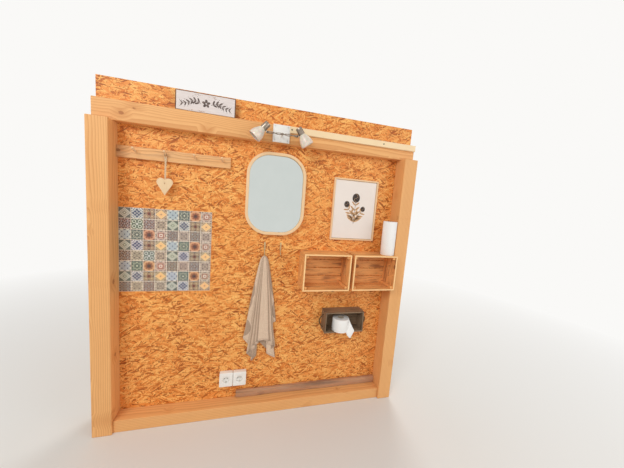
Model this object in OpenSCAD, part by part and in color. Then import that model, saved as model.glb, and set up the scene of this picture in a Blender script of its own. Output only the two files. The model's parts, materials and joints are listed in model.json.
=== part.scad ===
// End wall of a small timber hut, with the fittings that hang and stand on it.
// A strand board lining between two corner posts, on a stud frame with a boarded outer side.
// Origin: middle of the bottom plate's underside. +X along the wall to the right as seen
// from the room, +Y out through the wall, +Z up. Millimetres.

/* [Wall] */
// Clear width of the room between the two corner posts
room_w = 1672; // [1660:1:2200]
// Height of the wall, floor to ceiling
wall_h = 1946; // [1940:1:2400]
// Width of each corner post
post_w = 95; // [60:1:140]
// How far each corner post stands into the room
post_d = 107; // [92:1:140]
// Depth of the stud frame between the two boardings
frame_d = 70; // [45:1:140]
// Width of a stud and thickness of the top and bottom plates
stud_w = 45; // [38:1:60]
// Thickness of the strand board
board_t = 12; // [9:1:22]

/* [Beams] */
// Height of the rail's underside above the floor, where the posts end
rail_z = 1723; // [1700:1:1800]
// Height of the planed rail
rail_h = 103; // [80:1:110]
// How far the rail stands into the room
rail_d = 50; // [44:1:80]
// Height of the beam along the foot of the wall
sole_h = 72; // [50:1:110]
// How far the foot beam stands into the room
sole_d = 92; // [60:1:92]
// Height of the old board that lies on the foot beam
strip_h = 50; // [30:1:80]
// Thickness of the old board
strip_t = 25; // [15:1:40]
// Distance from the left post to the old board's left end
strip_start = 664; // [0:1:1200]

/* [Outer side] */
// Width of the first outer sheet
sheet_w = 1220; // [1000:1:1250]
// Expansion gap between the two outer sheets
sheet_gap = 3; // [2:0.5:6]
// Thickness of the outer corner, head and foot boards
trim_t = 20; // [15:1:30]

/* [Tiles] */
// Spacing of the wall tiles
tile_pitch = 60; // [40:1:66]
// Number of tiles in each row and column
tile_n = 8; // [4:1:8]
// Height of the tile panel's lower edge above the floor
tile_z = 804; // [600:1:820]
// Thickness of the tile panel
tile_t = 4; // [3:0.5:10]

/* [Mirror] */
// Overall width of the mirror
mirror_w = 366; // [320:1:380]
// Overall height of the mirror
mirror_h = 504; // [420:1:520]
// Radius of the mirror's outer corners
mirror_r = 140; // [60:1:150]
// Middle of the mirror, from the middle of the wall
mirror_x = 14; // [-20:1:40]
// Height of the mirror's middle above the floor
mirror_z = 1420; // [1410:1:1430]
// Width of the frame's face
mirror_face = 18; // [12:1:30]
// Depth of the frame
mirror_d = 30; // [22:1:40]
// How far the glass lies behind the frame's front
mirror_recess = 14; // [6:1:16]
// Thickness of the mirror glass
glass_t = 4; // [3:1:5]
// Width of the rebate that holds the glass
mirror_rebate = 5; // [3:1:8]

/* [Picture] */
// Overall width of the picture
picture_w = 320; // [250:1:360]
// Overall height of the picture
picture_h = 412; // [300:1:500]
// Middle of the picture, from the middle of the wall
picture_x = 550; // [520:1:600]
// Height of the picture's middle above the floor
picture_z = 1361; // [1340:1:1400]
// Width of the picture frame's face
picture_face = 10; // [6:1:20]
// Depth of the picture frame
picture_d = 16; // [12:1:25]
// How far the print lies behind the frame's front
print_recess = 6; // [3:1:8]
// Thickness of the print and its backing
print_t = 3; // [2:0.5:4]
// Width of the rebate that holds the print
picture_rebate = 4; // [2:1:5]

/* [Sign] */
// Length of the painted board that stands on the rail
sign_w = 310; // [200:1:400]
// Height of the painted board
sign_h = 105; // [60:1:112]
// Thickness of the painted board
sign_t = 8; // [5:1:12]
// Middle of the painted board, from the middle of the wall
sign_x = -401; // [-500:1:-300]
// Distance between the painted board and the lining
sign_back = 32; // [0:1:32]

/* [Peg rail] */
// Length of the peg rail, from the left post
pegs_l = 575; // [540:1:620]
// Height of the peg rail
pegs_h = 63; // [50:1:80]
// Height of the peg rail's lower edge above the floor
pegs_z = 1547; // [1540:1:1600]
// Thickness of the peg rail
pegs_t = 22; // [16:1:28]
// Number of pegs
peg_n = 4; // [2:1:4]
// Spacing of the pegs
peg_pitch = 147; // [120:1:150]
// Distance from the left post to the first peg
peg_start = 88; // [40:1:95]
// Diameter of a peg
peg_d = 12; // [8:1:16]
// How far a peg stands out along its axis
peg_l = 44; // [26:1:60]
// Upward slope of a peg, in degrees
peg_slope = 18; // [0:1:25]

/* [Heart] */
// Width of the hanging heart
heart_w = 81; // [60:1:110]
// Height of the hanging heart
heart_h = 93; // [70:1:120]
// Thickness of the heart
heart_t = 8; // [4:1:12]
// Distance from the peg down to the hole in the heart
heart_drop = 153; // [110:1:200]
// Diameter of the hole in the heart
heart_hole = 6; // [4:1:8]
// Width of the ribbon
ribbon_w = 5; // [3:1:8]
// Thickness of the ribbon
ribbon_t = 1; // [0.5:0.1:2]

/* [Light] */
// Side of the square wall plate
plate_w = 100; // [80:1:102]
// Thickness of the wall plate
plate_t = 14; // [10:1:20]
// Middle of the light, from the middle of the wall
light_x = 18; // [-20:1:60]
// Height of the bar above the floor
bar_z = 1762; // [1745:1:1800]
// Distance between the wall plate's front and the middle of the bar
bar_gap = 44; // [44:1:70]
// Radius of the bar
bar_r = 5; // [4:0.5:6]
// Distance from the middle of the light to each pivot
pivot_span = 88; // [85:1:120]
// Slope of the left lamp from straight down, in degrees
left_tilt = 42; // [0:1:70]
// Slope of the right lamp from straight down, in degrees
right_tilt = 35; // [0:1:70]
// Radius of a lamp holder
holder_r = 19; // [15:1:20]
// Length of a lamp holder
holder_l = 42; // [30:1:55]
// Radius of the glass shade at its mouth
shade_r = 37; // [28:1:38]
// Length of the glass shade
shade_l = 68; // [50:1:90]
// Thickness of the shade's glass
shade_t = 3; // [2:0.5:4]
// Radius of the pivot pin
pin_r = 2; // [1.5:0.1:2.5]
// Running clearance round the pivot pin
pin_gap = 0.06; // [0.03:0.01:0.1]

/* [Cable duct] */
// Height of the duct
duct_h = 40; // [25:1:45]
// Thickness of the duct
duct_t = 14; // [10:1:20]

/* [Hooks] */
// Middle of the left hook, from the middle of the wall
left_hook_x = -36; // [-60:1:-20]
// Middle of the right hook, from the middle of the wall
right_hook_x = 65; // [50:1:100]
// Height of the top of the hooks above the floor
hook_z = 1118; // [1080:1:1130]
// Height of a hook's back plate
hook_plate_h = 50; // [40:1:60]
// Width of a hook's back plate
hook_plate_w = 9; // [7:1:14]
// Radius of the hook's wire
wire_r = 2; // [1.5:0.1:3]
// Radius of the hook's bend
bend_r = 9; // [7:1:14]

/* [Towel] */
// Thickness of the folds of the hanging towel
towel_t = 36; // [20:1:44]
// Length of the hanging towel below its hook
towel_l = 694; // [500:1:740]
// Half width of the hanging towel at its foot
towel_half_w = 106; // [80:1:130]

/* [Crates] */
// Width of a crate
crate_w = 310; // [260:1:320]
// Height of a crate
crate_h = 235; // [180:1:240]
// Depth of a crate
crate_d = 150; // [120:1:160]
// Height of the crates' underside above the floor
crate_z = 841; // [800:1:860]
// Gap between the two crates
crate_gap = 21; // [5:1:40]
// Thickness of a crate's sides
crate_t = 9; // [6:1:12]
// Thickness of a crate's back slats
slat_t = 6; // [4:1:8]
// Gap between the back slats
slat_gap = 5; // [3:1:10]
// Side of the square corner battens
batten = 18; // [12:1:24]
// Length of the hand hole in a crate's end
hand_l = 80; // [60:1:100]
// Width of the hand hole in a crate's end
hand_w = 20; // [14:1:26]
// Distance of the hand hole's middle from the lining
hand_out = 86; // [70:1:95]
// Distance between a crate's front edge and its battens
batten_set = 8; // [4:1:12]

/* [Rolls] */
// Diameter of the kitchen roll
kitchen_d = 92; // [80:1:130]
// Height of the kitchen roll
kitchen_h = 228; // [200:1:260]
// Diameter of the hole through both rolls
core_d = 42; // [36:1:46]
// Diameter of the toilet roll
toilet_d = 112; // [90:1:120]
// Height of the toilet roll
toilet_h = 90; // [85:1:110]
// How far the tip of the toilet roll's loose end hangs below the roll
tail_drop = 36; // [10:1:50]
// How far the loose end reaches sideways past the roll
tail_side = 32; // [20:1:40]

/* [Roll box] */
// Width of the roll box
box_w = 280; // [240:1:320]
// Height of the roll box
box_h = 145; // [130:1:170]
// Depth of the roll box
box_d = 90; // [80:1:120]
// Height of the box's underside above the floor
box_z = 524; // [480:1:560]
// Middle of the roll box, from the middle of the wall
box_x = 524; // [500:1:560]
// Thickness of the box's sides
box_t = 9; // [6:1:12]
// Thickness of the box's back
box_back_t = 5; // [3:1:8]
// Distance from the middle of the box to the middle of its roll, to the left
roll_off = 20; // [-40:1:50]
// How far a handle bulges from the box's end
handle_out = 30; // [10:1:40]
// Height between a handle's two ends
handle_h = 90; // [70:1:110]
// Radius of a handle's rope
handle_r = 3; // [2:0.5:4]

/* [Sockets] */
// Width of a wall socket
socket_w = 82; // [70:1:90]
// Height of a wall socket
socket_h = 94; // [80:1:100]
// How far a wall socket stands off the wall
socket_t = 31; // [26:1:45]
// Radius of a wall socket's rounded corners
socket_r = 6; // [2:1:10]
// Gap between the two wall sockets
socket_gap = 2; // [1:1:6]
// Middle of the pair of sockets, from the middle of the wall
socket_x = -194; // [-240:1:-150]
// Height of the sockets' lower edge above the floor
socket_z = 166; // [150:1:300]
// Radius of a socket's round recess
recess_r = 21; // [18:0.5:22]
// Depth of a socket's round recess
recess_d = 17; // [12:1:20]

/* [Hidden] */
$fn = 48;
eps = 0.01;

// the wall's own lines
wall_w = room_w + 2 * post_w;
left_in = -room_w / 2;
right_in = room_w / 2;
face = -frame_d / 2 - board_t;
back_face = frame_d / 2 + board_t;
joint_x = -wall_w / 2 + sheet_w;
rail_top = rail_z + rail_h;

// the light's bar and pivots, and the lamps' local sizes
bar_out = rail_d + plate_t + bar_gap;
lamp_clear = 9;
pivot_r = 6.5;
eye_t = 6;
cheek_t = 3;
cheek_gap = 0.3;
neck_drop = 4;
holder_off = holder_r + lamp_clear;
neck_r = holder_r - 2;
base_in = 8;
base_out = 14;
stem_r = 6;

// what the towel, heart and rolls hang and stand on
soft_gap = 0.5;
bend_z = hook_z - hook_plate_h - 23;
wire_out = wire_r + 2;
peg_z = pegs_z + 36;
peg_root = peg_d / 2;
heart_peg_x = left_in + peg_start + peg_pitch;
ribbon_out = pegs_t + 4;
shelf_z = crate_z + crate_h;
box_left = box_x - box_w / 2;

// colours
timber = [0.86, 0.66, 0.42];
strand = [0.83, 0.53, 0.27];
aged = [0.47, 0.36, 0.27];
pale = [0.93, 0.84, 0.68];
white = [0.92, 0.91, 0.88];
steel = [0.62, 0.60, 0.57];
gold = [0.75, 0.62, 0.35];

// A slab on the room side: x0 to x1, out0 to out1 from the lining, z0 to z1
module slab(x0, x1, out0, out1, z0, z1) {
    translate([x0, face - out1, z0]) cube([x1 - x0, out1 - out0, z1 - z0]);
}

// A slab on the outer side, standing out from the outer sheets
module outer_slab(x0, x1, z0, z1) {
    translate([x0, back_face, z0]) cube([x1 - x0, trim_t, z1 - z0]);
}

// A rectangle with round corners, about its middle
module rounded(w, h, r) {
    square([w - 2 * r, h], center = true);
    square([w, h - 2 * r], center = true);
    for (sx = [-1, 1], sz = [-1, 1]) {
        translate([sx * (w / 2 - r), sz * (h / 2 - r)]) circle(r);
    }
}

// Stands a flat outline up against the wall: drawn in x and z, from out0 to out1 off the lining
module upright(x, out0, out1, z) {
    translate([x, face - out0, z]) rotate([90, 0, 0]) linear_extrude(out1 - out0) children();
}

// Stud frame
module plate(z) {
    translate([-wall_w / 2, -frame_d / 2, z]) cube([wall_w, frame_d, stud_w]);
}

module stud(x) {
    translate([x, -frame_d / 2, stud_w]) cube([stud_w, frame_d, wall_h - 2 * stud_w]);
}

module bottom_plate() {
    color(timber) plate(0);
}

module top_plate() {
    color(timber) plate(wall_h - stud_w);
}

module left_end_stud() {
    color(timber) stud(-wall_w / 2);
}

module right_end_stud() {
    color(timber) stud(wall_w / 2 - stud_w);
}

module joint_stud() {
    color(timber) stud(joint_x - stud_w / 2);
}

// Boarding
module lining() {
    color(strand) slab(-wall_w / 2, wall_w / 2, -board_t, 0, 0, wall_h);
}

module back_sheet(x0, x1) {
    color(strand) translate([x0, frame_d / 2, 0]) cube([x1 - x0, board_t, wall_h]);
}

module back_sheet_left() {
    back_sheet(-wall_w / 2, joint_x - sheet_gap / 2);
}

module back_sheet_right() {
    back_sheet(joint_x + sheet_gap / 2, wall_w / 2);
}

// Posts and beams of the room side
module left_post() {
    color(timber) slab(-wall_w / 2, left_in, 0, post_d, 0, rail_z);
}

module right_post() {
    color(timber) slab(right_in, wall_w / 2, 0, post_d, 0, rail_z);
}

module top_rail() {
    color(timber) slab(-wall_w / 2, wall_w / 2, 0, rail_d, rail_z, rail_top);
}

module sole_beam() {
    color(timber) slab(left_in, right_in, 0, sole_d, 0, sole_h);
}

module weathered_strip() {
    color(aged) slab(left_in + strip_start, right_in, 0, strip_t, sole_h, sole_h + strip_h);
}

// Boards of the outer side, on the lines of the posts and beams inside
module back_trim_left() {
    color(timber) outer_slab(-wall_w / 2, left_in, 0, rail_z);
}

module back_trim_right() {
    color(timber) outer_slab(right_in, wall_w / 2, 0, rail_z);
}

module back_rail() {
    color(timber) outer_slab(-wall_w / 2, wall_w / 2, rail_z, rail_top);
}

module back_foot_board() {
    color(timber) outer_slab(left_in, right_in, 0, sole_h);
}

// Tiles
module tile_panel() {
    side = tile_n * tile_pitch;
    color([0.62, 0.60, 0.56]) slab(left_in, left_in + side, 0, tile_t, tile_z, tile_z + side);
}

// Mirror
mirror_in_w = mirror_w - 2 * mirror_face;
mirror_in_h = mirror_h - 2 * mirror_face;
mirror_in_r = mirror_r - mirror_face;
glass_front = mirror_d - mirror_recess;

module mirror_frame() {
    color(pale) difference() {
        upright(mirror_x, 0, mirror_d, mirror_z) rounded(mirror_w, mirror_h, mirror_r);
        upright(mirror_x, -1, mirror_d + 1, mirror_z) rounded(mirror_in_w, mirror_in_h, mirror_in_r);
        upright(mirror_x, -1, glass_front, mirror_z) rounded(
            mirror_in_w + 2 * mirror_rebate, mirror_in_h + 2 * mirror_rebate, mirror_in_r + mirror_rebate
        );
    }
}

module mirror_glass() {
    lap = mirror_rebate - soft_gap;
    color([0.75, 0.80, 0.82]) upright(mirror_x, glass_front - glass_t, glass_front, mirror_z)
        rounded(mirror_in_w + 2 * lap, mirror_in_h + 2 * lap, mirror_in_r + lap);
}

// Picture
print_front = picture_d - print_recess;

module picture_frame() {
    in_w = picture_w - 2 * picture_face;
    in_h = picture_h - 2 * picture_face;
    color(pale) difference() {
        upright(picture_x, 0, picture_d, picture_z) square([picture_w, picture_h], center = true);
        upright(picture_x, -1, picture_d + 1, picture_z) square([in_w, in_h], center = true);
        upright(picture_x, -1, print_front, picture_z)
            square([in_w + 2 * picture_rebate, in_h + 2 * picture_rebate], center = true);
    }
}

module picture_print() {
    cut = 2 * (picture_face - picture_rebate + soft_gap);
    color(white) upright(picture_x, print_front - print_t, print_front, picture_z)
        square([picture_w - cut, picture_h - cut], center = true);
}

// Painted board on the rail
module sign_board() {
    color(white) slab(
        sign_x - sign_w / 2, sign_x + sign_w / 2, sign_back, sign_back + sign_t, rail_top, rail_top + sign_h
    );
}

// Peg rail, with its pegs glued in
module peg_rail() {
    color([0.80, 0.66, 0.50]) {
        slab(left_in, left_in + pegs_l, 0, pegs_t, pegs_z, pegs_z + pegs_h);
        for (i = [0 : peg_n - 1]) {
            translate([left_in + peg_start + i * peg_pitch, face - pegs_t + peg_root, peg_z])
                rotate([90 - peg_slope, 0, 0]) cylinder(h = peg_l + peg_root, d = peg_d);
        }
    }
}

// Heart: two lobes and a point, with the lobes' tangents meeting below
heart_lobe = heart_w * 0.274;
heart_half = heart_w / 2 - heart_lobe;
heart_tip = heart_h - heart_lobe;
heart_z = peg_z - heart_drop;
heart_hole_drop = 5;
heart_mid = heart_z + heart_hole_drop;

module heart_outline() {
    reach = sqrt(heart_half * heart_half + heart_tip * heart_tip);
    run = sqrt(reach * reach - heart_lobe * heart_lobe);
    slope = atan2(heart_tip, heart_half) - asin(heart_lobe / reach);
    side_x = run * cos(slope);
    side_z = run * sin(slope) - heart_tip;
    polygon([[0, -heart_tip], [side_x, side_z], [heart_half, 0], [-heart_half, 0], [-side_x, side_z]]);
    for (s = [-1, 1]) {
        translate([s * heart_half, 0]) circle(heart_lobe);
    }
}

module heart() {
    out = ribbon_out + ribbon_w;
    color(pale) difference() {
        upright(heart_peg_x, out, out + heart_t, heart_mid) heart_outline();
        upright(heart_peg_x, out - 1, out + heart_t + 1, heart_z) circle(d = heart_hole);
    }
}

// Ribbon: a taut loop over the peg, down behind the heart to its hole
ribbon_loop_r = peg_d / 2 / cos(peg_slope) + ribbon_w * tan(peg_slope) / 2 + 0.3;
ribbon_loop_z = peg_z + (ribbon_out - pegs_t + peg_root + ribbon_w / 2) * tan(peg_slope);

module ribbon_layer() {
    upright(heart_peg_x, ribbon_out, ribbon_out + ribbon_w, ribbon_loop_z) children();
}

module heart_ribbon() {
    outer_r = ribbon_loop_r + ribbon_t;
    drop = ribbon_loop_z - heart_z;
    lap = 1;
    inset = 0.1;
    color([0.85, 0.70, 0.50]) {
        ribbon_layer() difference() {
            circle(outer_r);
            circle(ribbon_loop_r);
            translate([-2 * outer_r, -4 * outer_r - lap]) square(4 * outer_r);
        }
        for (s = [-1, 1]) {
            ribbon_layer() polygon([
                [s * (ribbon_loop_r + inset), lap], [s * (outer_r - inset), lap],
                [s * ribbon_t, -drop], [-s * lap, -drop - heart_hole / 2], [-s * lap, 4 * ribbon_t - drop]
            ]);
        }
    }
}

// Light: plate on the rail, stem, bar and forks
module light_plate() {
    color(white) slab(
        light_x - plate_w / 2, light_x + plate_w / 2, rail_d, rail_d + plate_t, rail_top - plate_w, rail_top
    );
}

// A round bar along X between two places
module rod_x(x0, x1, r) {
    translate([x0, 0, 0]) rotate([0, 90, 0]) cylinder(h = x1 - x0, r = r);
}

// A round bar along Y, about the middle
module rod_y(l, r) {
    rotate([90, 0, 0]) cylinder(h = l, r = r, center = true);
}

module fork() {
    cheek_y = eye_t / 2 + cheek_gap;
    rod_x(base_in, base_out, pivot_r);
    rod_y(2 * (cheek_y + cheek_t), pin_r);
    for (s = [-1, 1]) {
        translate([0, s * (cheek_y + cheek_t / 2), 0]) {
            rod_y(cheek_t, pivot_r);
            translate([(base_in + 1) / 2, 0, 0]) cube([base_in + 1, cheek_t, 1.6 * pivot_r], center = true);
        }
    }
}

module light_bar() {
    color(steel) translate([light_x, face - bar_out, bar_z]) {
        rod_x(base_out - pivot_span - 1, pivot_span - base_out + 1, bar_r);
        translate([0, bar_gap, 0]) rotate([90, 0, 0]) cylinder(h = bar_gap, r = stem_r);
        translate([-pivot_span, 0, 0]) fork();
        translate([pivot_span, 0, 0]) mirror([1, 0, 0]) fork();
    }
}

// A lamp as it hangs left of its pivot, pointing straight down
module hanging_holder() {
    difference() {
        union() {
            translate([-holder_off, 0, -neck_drop]) cylinder(h = holder_l, r = holder_r);
            rod_y(eye_t, pivot_r);
            translate([-holder_off, -eye_t / 2, -neck_drop])
                cube([holder_off, eye_t, neck_drop + 0.8 * pivot_r]);
        }
        rod_y(2 * eye_t, pin_r + pin_gap);
    }
}

shade_steps = 8;
function bell(u) = neck_r + (shade_r - neck_r) * sin(105 * u) / sin(105);

module hanging_shade() {
    outer = [for (i = [0 : shade_steps]) [bell(i / shade_steps), -shade_l * i / shade_steps]];
    inner = [for (i = [shade_steps : -1 : 0]) [bell(i / shade_steps) - shade_t, -shade_l * i / shade_steps]];
    translate([-holder_off, 0, -neck_drop]) rotate_extrude() polygon(concat(outer, inner));
}

module at_left_pivot() {
    translate([light_x - pivot_span, face - bar_out, bar_z]) rotate([0, left_tilt, 0]) children();
}

module at_right_pivot() {
    translate([light_x + pivot_span, face - bar_out, bar_z]) rotate([0, -right_tilt, 0])
        mirror([1, 0, 0]) children();
}

module left_holder() {
    color(steel) at_left_pivot() hanging_holder();
}

module right_holder() {
    color(steel) at_right_pivot() hanging_holder();
}

module left_shade() {
    color(white) at_left_pivot() hanging_shade();
}

module right_shade() {
    color(white) at_right_pivot() hanging_shade();
}

// Cable duct on the rail, from the light's plate to the wall's end
module cable_duct() {
    color(white) slab(
        light_x + plate_w / 2, wall_w / 2, rail_d, rail_d + duct_t, rail_top - duct_h, rail_top
    );
}

// Hook: back plate, wire, bend and tip
module hook(x) {
    plate_z = hook_z - hook_plate_h;
    tip_out = wire_out + 2 * bend_r;
    tip_h = 8;
    color(gold) {
        slab(x - hook_plate_w / 2, x + hook_plate_w / 2, 0, 2.5, plate_z, hook_z);
        translate([x, face - wire_out, bend_z]) cylinder(h = hook_z - 8 - bend_z, r = wire_r);
        translate([x, face - wire_out - bend_r, bend_z]) rotate([90, 0, -90])
            rotate_extrude(angle = -180) translate([bend_r, 0]) circle(wire_r);
        translate([x, face - tip_out, bend_z]) cylinder(h = tip_h, r = wire_r);
        translate([x, face - tip_out, bend_z + tip_h]) sphere(wire_r * 1.6);
    }
}

module left_hook() {
    hook(left_hook_x);
}

module right_hook() {
    hook(right_hook_x);
}

// Towel: the folds below the hook, with the front layer's notch
towel_top = bend_z - bend_r - wire_r - soft_gap;
towel_foot = towel_top - towel_l;

module towel() {
    w = towel_half_w;
    color([0.72, 0.63, 0.53]) upright(left_hook_x, 3, 3 + towel_t, towel_foot) polygon([
        [-12, towel_l], [12, towel_l], [0.98 * w, 0.33 * towel_l], [1.04 * w, 0.14 * towel_l],
        [0.95 * w, 0], [-0.1 * w, 0.17 * towel_l], [-0.54 * w, 0], [-0.72 * w, 0.08 * towel_l],
        [-0.96 * w, 0.22 * towel_l], [-0.62 * w, 0.52 * towel_l]
    ]);
}

// Crate on its side, open to the room, made of boards and slats on four corner battens
module crate(x0) {
    slats = 4;
    in_w = crate_w - 2 * crate_t;
    in_h = crate_h - 2 * crate_t;
    slat_h = (in_h - (slats - 1) * slat_gap) / slats;
    floor_d = (crate_d - slat_gap) / 2;
    batten_d = crate_d - batten_set;
    top = crate_z + crate_h;
    color([0.75, 0.52, 0.30]) difference() {
        union() {
            slab(x0, x0 + crate_w, 0, crate_d, top - crate_t, top);
            slab(x0, x0 + crate_w, 0, floor_d, crate_z, crate_z + crate_t);
            slab(x0, x0 + crate_w, crate_d - floor_d, crate_d, crate_z, crate_z + crate_t);
            for (x = [x0, x0 + crate_w - crate_t]) {
                slab(x, x + crate_t, 0, crate_d, crate_z + crate_t, top - crate_t);
            }
            for (i = [0 : slats - 1]) {
                z = crate_z + crate_t + i * (slat_h + slat_gap);
                slab(x0 + crate_t, x0 + crate_w - crate_t, 0, slat_t, z, z + slat_h);
            }
            for (x = [x0 + crate_t, x0 + crate_w - crate_t - batten]) {
                for (z = [crate_z + crate_t, top - crate_t - batten]) {
                    slab(x, x + batten, 0, batten_d, z, z + batten);
                }
            }
        }
        for (x = [x0, x0 + crate_w - crate_t]) {
            translate([x - 1, face - hand_out, crate_z + crate_h / 2]) rotate([90, 0, 90])
                linear_extrude(crate_t + 2) rounded(hand_w, hand_l, hand_w / 2 - eps);
        }
    }
}

right_crate_x = right_in - soft_gap - crate_w;
left_crate_x = right_crate_x - crate_gap - crate_w;

module left_crate() {
    crate(left_crate_x);
}

module right_crate() {
    crate(right_crate_x);
}

// Rolls
module kitchen_roll() {
    x = right_in - kitchen_d / 2 - 2;
    out = 88;
    color(white) translate([x, face - out, shelf_z]) difference() {
        cylinder(h = kitchen_h, d = kitchen_d);
        translate([0, 0, -1]) cylinder(h = kitchen_h + 2, d = core_d);
    }
}

roll_x = box_x - roll_off;
roll_out = box_back_t + toilet_d / 2 + soft_gap;
roll_z = box_z + box_t;
tail_t = 1.5;

// Loose end: two flat pieces that leave the roll's side and front and meet at a tip in front of the box
module roll_tail() {
    r = (toilet_d - tail_t) / 2;
    front = box_d - roll_out;
    side_leaves = [r, 0, toilet_h - 1];
    front_leaves = [r * cos(45), -r * sin(45), 1 + 1.5 * max(0, front + 2 * tail_t - r * sin(45))];
    outer = [r + tail_side, -front - 20, 11];
    tip = [r + 2, -front - 30, -tail_drop];
    for (corner = [side_leaves, tip])
        hull() for (p = [corner, outer, front_leaves]) translate(p) cube(tail_t, center = true);
}

module toilet_roll() {
    color(white) translate([roll_x, face - roll_out, roll_z]) {
        difference() {
            cylinder(h = toilet_h, d = toilet_d);
            translate([0, 0, -1]) cylinder(h = toilet_h + 2, d = core_d);
        }
        roll_tail();
    }
}

// Roll box: four sides and a back, open to the room
module roll_box() {
    top = box_z + box_h;
    right = box_left + box_w;
    color(aged) {
        slab(box_left, right, 0, box_d, top - box_t, top);
        slab(box_left, right, 0, box_d, box_z, box_z + box_t);
        slab(box_left, box_left + box_t, 0, box_d, box_z, top);
        slab(right - box_t, right, 0, box_d, box_z, top);
        slab(box_left, right, 0, box_back_t, box_z, top);
    }
}

// Rope handle: a shallow bow on the box's end
module handle(x, side) {
    half = handle_h / 2;
    bow_r = (half * half + handle_out * handle_out) / (2 * handle_out);
    sweep = 2 * asin(half / bow_r);
    color([0.30, 0.25, 0.20]) translate([x, face - box_d / 2, box_z + box_h / 2]) intersection() {
        translate([side * (handle_out - bow_r), 0, 0]) rotate([90, 0, 0]) rotate([0, 0, side > 0 ? -90 : 90])
            rotate_extrude(angle = 180) translate([bow_r, 0]) circle(handle_r);
        translate([side > 0 ? 0 : -handle_out - handle_r - 1, -handle_r - 1, -half - handle_r - 1])
            cube([handle_out + handle_r + 1, 2 * handle_r + 2, handle_h + 2 * handle_r + 2]);
    }
}

module box_handle_left() {
    handle(box_left, -1);
}

module box_handle_right() {
    handle(box_left + box_w, 1);
}

// Wall sockets: a surface box with a round recess for the plug
module wall_socket(x) {
    z = socket_z + socket_h / 2;
    color(white) difference() {
        upright(x, 0, socket_t, z) rounded(socket_w, socket_h, socket_r);
        upright(x, socket_t - recess_d, socket_t + 1, z) circle(recess_r);
    }
}

module left_socket() {
    wall_socket(socket_x - (socket_w + socket_gap) / 2);
}

module right_socket() {
    wall_socket(socket_x + (socket_w + socket_gap) / 2);
}

bottom_plate();
top_plate();
left_end_stud();
right_end_stud();
joint_stud();
lining();
back_sheet_left();
back_sheet_right();
left_post();
right_post();
top_rail();
sole_beam();
weathered_strip();
back_trim_left();
back_trim_right();
back_rail();
back_foot_board();
tile_panel();
mirror_frame();
mirror_glass();
picture_frame();
picture_print();
sign_board();
peg_rail();
heart();
heart_ribbon();
light_plate();
light_bar();
left_holder();
left_shade();
right_holder();
right_shade();
cable_duct();
left_hook();
right_hook();
towel();
left_crate();
right_crate();
kitchen_roll();
roll_box();
box_handle_left();
box_handle_right();
toilet_roll();
left_socket();
right_socket();
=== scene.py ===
import json
import math
import random

import bmesh
import bpy
from mathutils import Matrix, Vector, noise as solid_noise


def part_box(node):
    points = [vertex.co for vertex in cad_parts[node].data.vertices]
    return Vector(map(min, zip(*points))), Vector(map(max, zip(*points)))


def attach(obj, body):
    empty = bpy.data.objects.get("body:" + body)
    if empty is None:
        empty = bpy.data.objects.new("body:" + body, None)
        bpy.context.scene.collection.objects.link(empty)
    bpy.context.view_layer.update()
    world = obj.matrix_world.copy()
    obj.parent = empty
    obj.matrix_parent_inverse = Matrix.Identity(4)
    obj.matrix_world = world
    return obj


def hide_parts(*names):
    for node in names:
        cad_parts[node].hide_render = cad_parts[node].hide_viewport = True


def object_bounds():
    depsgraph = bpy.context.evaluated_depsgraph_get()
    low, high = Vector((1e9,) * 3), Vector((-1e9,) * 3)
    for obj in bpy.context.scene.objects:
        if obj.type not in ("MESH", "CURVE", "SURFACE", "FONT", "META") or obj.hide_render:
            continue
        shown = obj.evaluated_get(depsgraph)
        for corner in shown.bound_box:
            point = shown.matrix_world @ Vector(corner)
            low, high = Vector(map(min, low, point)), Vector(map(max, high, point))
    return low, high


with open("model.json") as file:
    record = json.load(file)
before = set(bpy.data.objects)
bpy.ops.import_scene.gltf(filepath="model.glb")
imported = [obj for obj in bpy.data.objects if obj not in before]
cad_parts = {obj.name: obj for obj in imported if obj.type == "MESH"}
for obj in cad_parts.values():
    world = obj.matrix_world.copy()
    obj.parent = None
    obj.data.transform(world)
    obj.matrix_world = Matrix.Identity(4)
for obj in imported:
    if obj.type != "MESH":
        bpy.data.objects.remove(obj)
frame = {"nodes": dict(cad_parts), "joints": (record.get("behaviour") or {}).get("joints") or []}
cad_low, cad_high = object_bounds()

# The place to see it in: a pale floor that fades into a white room, and soft studio light from both
# sides. The camera stands on the room side, left of the middle, at eye height, with a wide lens.
scene = bpy.context.scene
scene.view_settings.view_transform = "Standard"


def screen(r, g, b):
    """A colour as a screen shows it, 0 to 255, in the linear values that a shader takes."""
    parts = [c / 255 for c in (r, g, b)]
    return tuple(c / 12.92 if c < 0.0405 else ((c + 0.055) / 1.055) ** 2.4 for c in parts) + (1.0,)


def node(mat, kind, sockets=None, **settings):
    """Adds a shader node with its settings, and gives its sockets values or joins them to other nodes."""
    made = mat.node_tree.nodes.new(kind)
    for key, value in settings.items():
        setattr(made, key, value)
    for key, value in (sockets or {}).items():
        if isinstance(value, bpy.types.NodeSocket):
            mat.node_tree.links.new(value, made.inputs[key])
        else:
            made.inputs[key].default_value = value
    return made


def material(name, **values):
    """A material with a Principled shader, with plain numbers set on the shader's own sockets."""
    mat = bpy.data.materials.new(name)
    mat.use_nodes = True
    shader = mat.node_tree.nodes["Principled BSDF"]
    for key, value in values.items():
        shader.inputs[key.replace("_", " ")].default_value = value
    return mat, shader


def calc(mat, operation, a, b=0.0, c=0.0):
    return node(mat, "ShaderNodeMath", {0: a, 1: b, 2: c}, operation=operation).outputs[0]


def spread(mat, value, low, high, to_low=0.0, to_high=1.0):
    """Maps low..high to to_low..to_high, and holds it there."""
    sockets = {"Value": value, "From Min": low, "From Max": high, "To Min": to_low, "To Max": to_high}
    return node(mat, "ShaderNodeMapRange", sockets).outputs[0]


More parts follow.
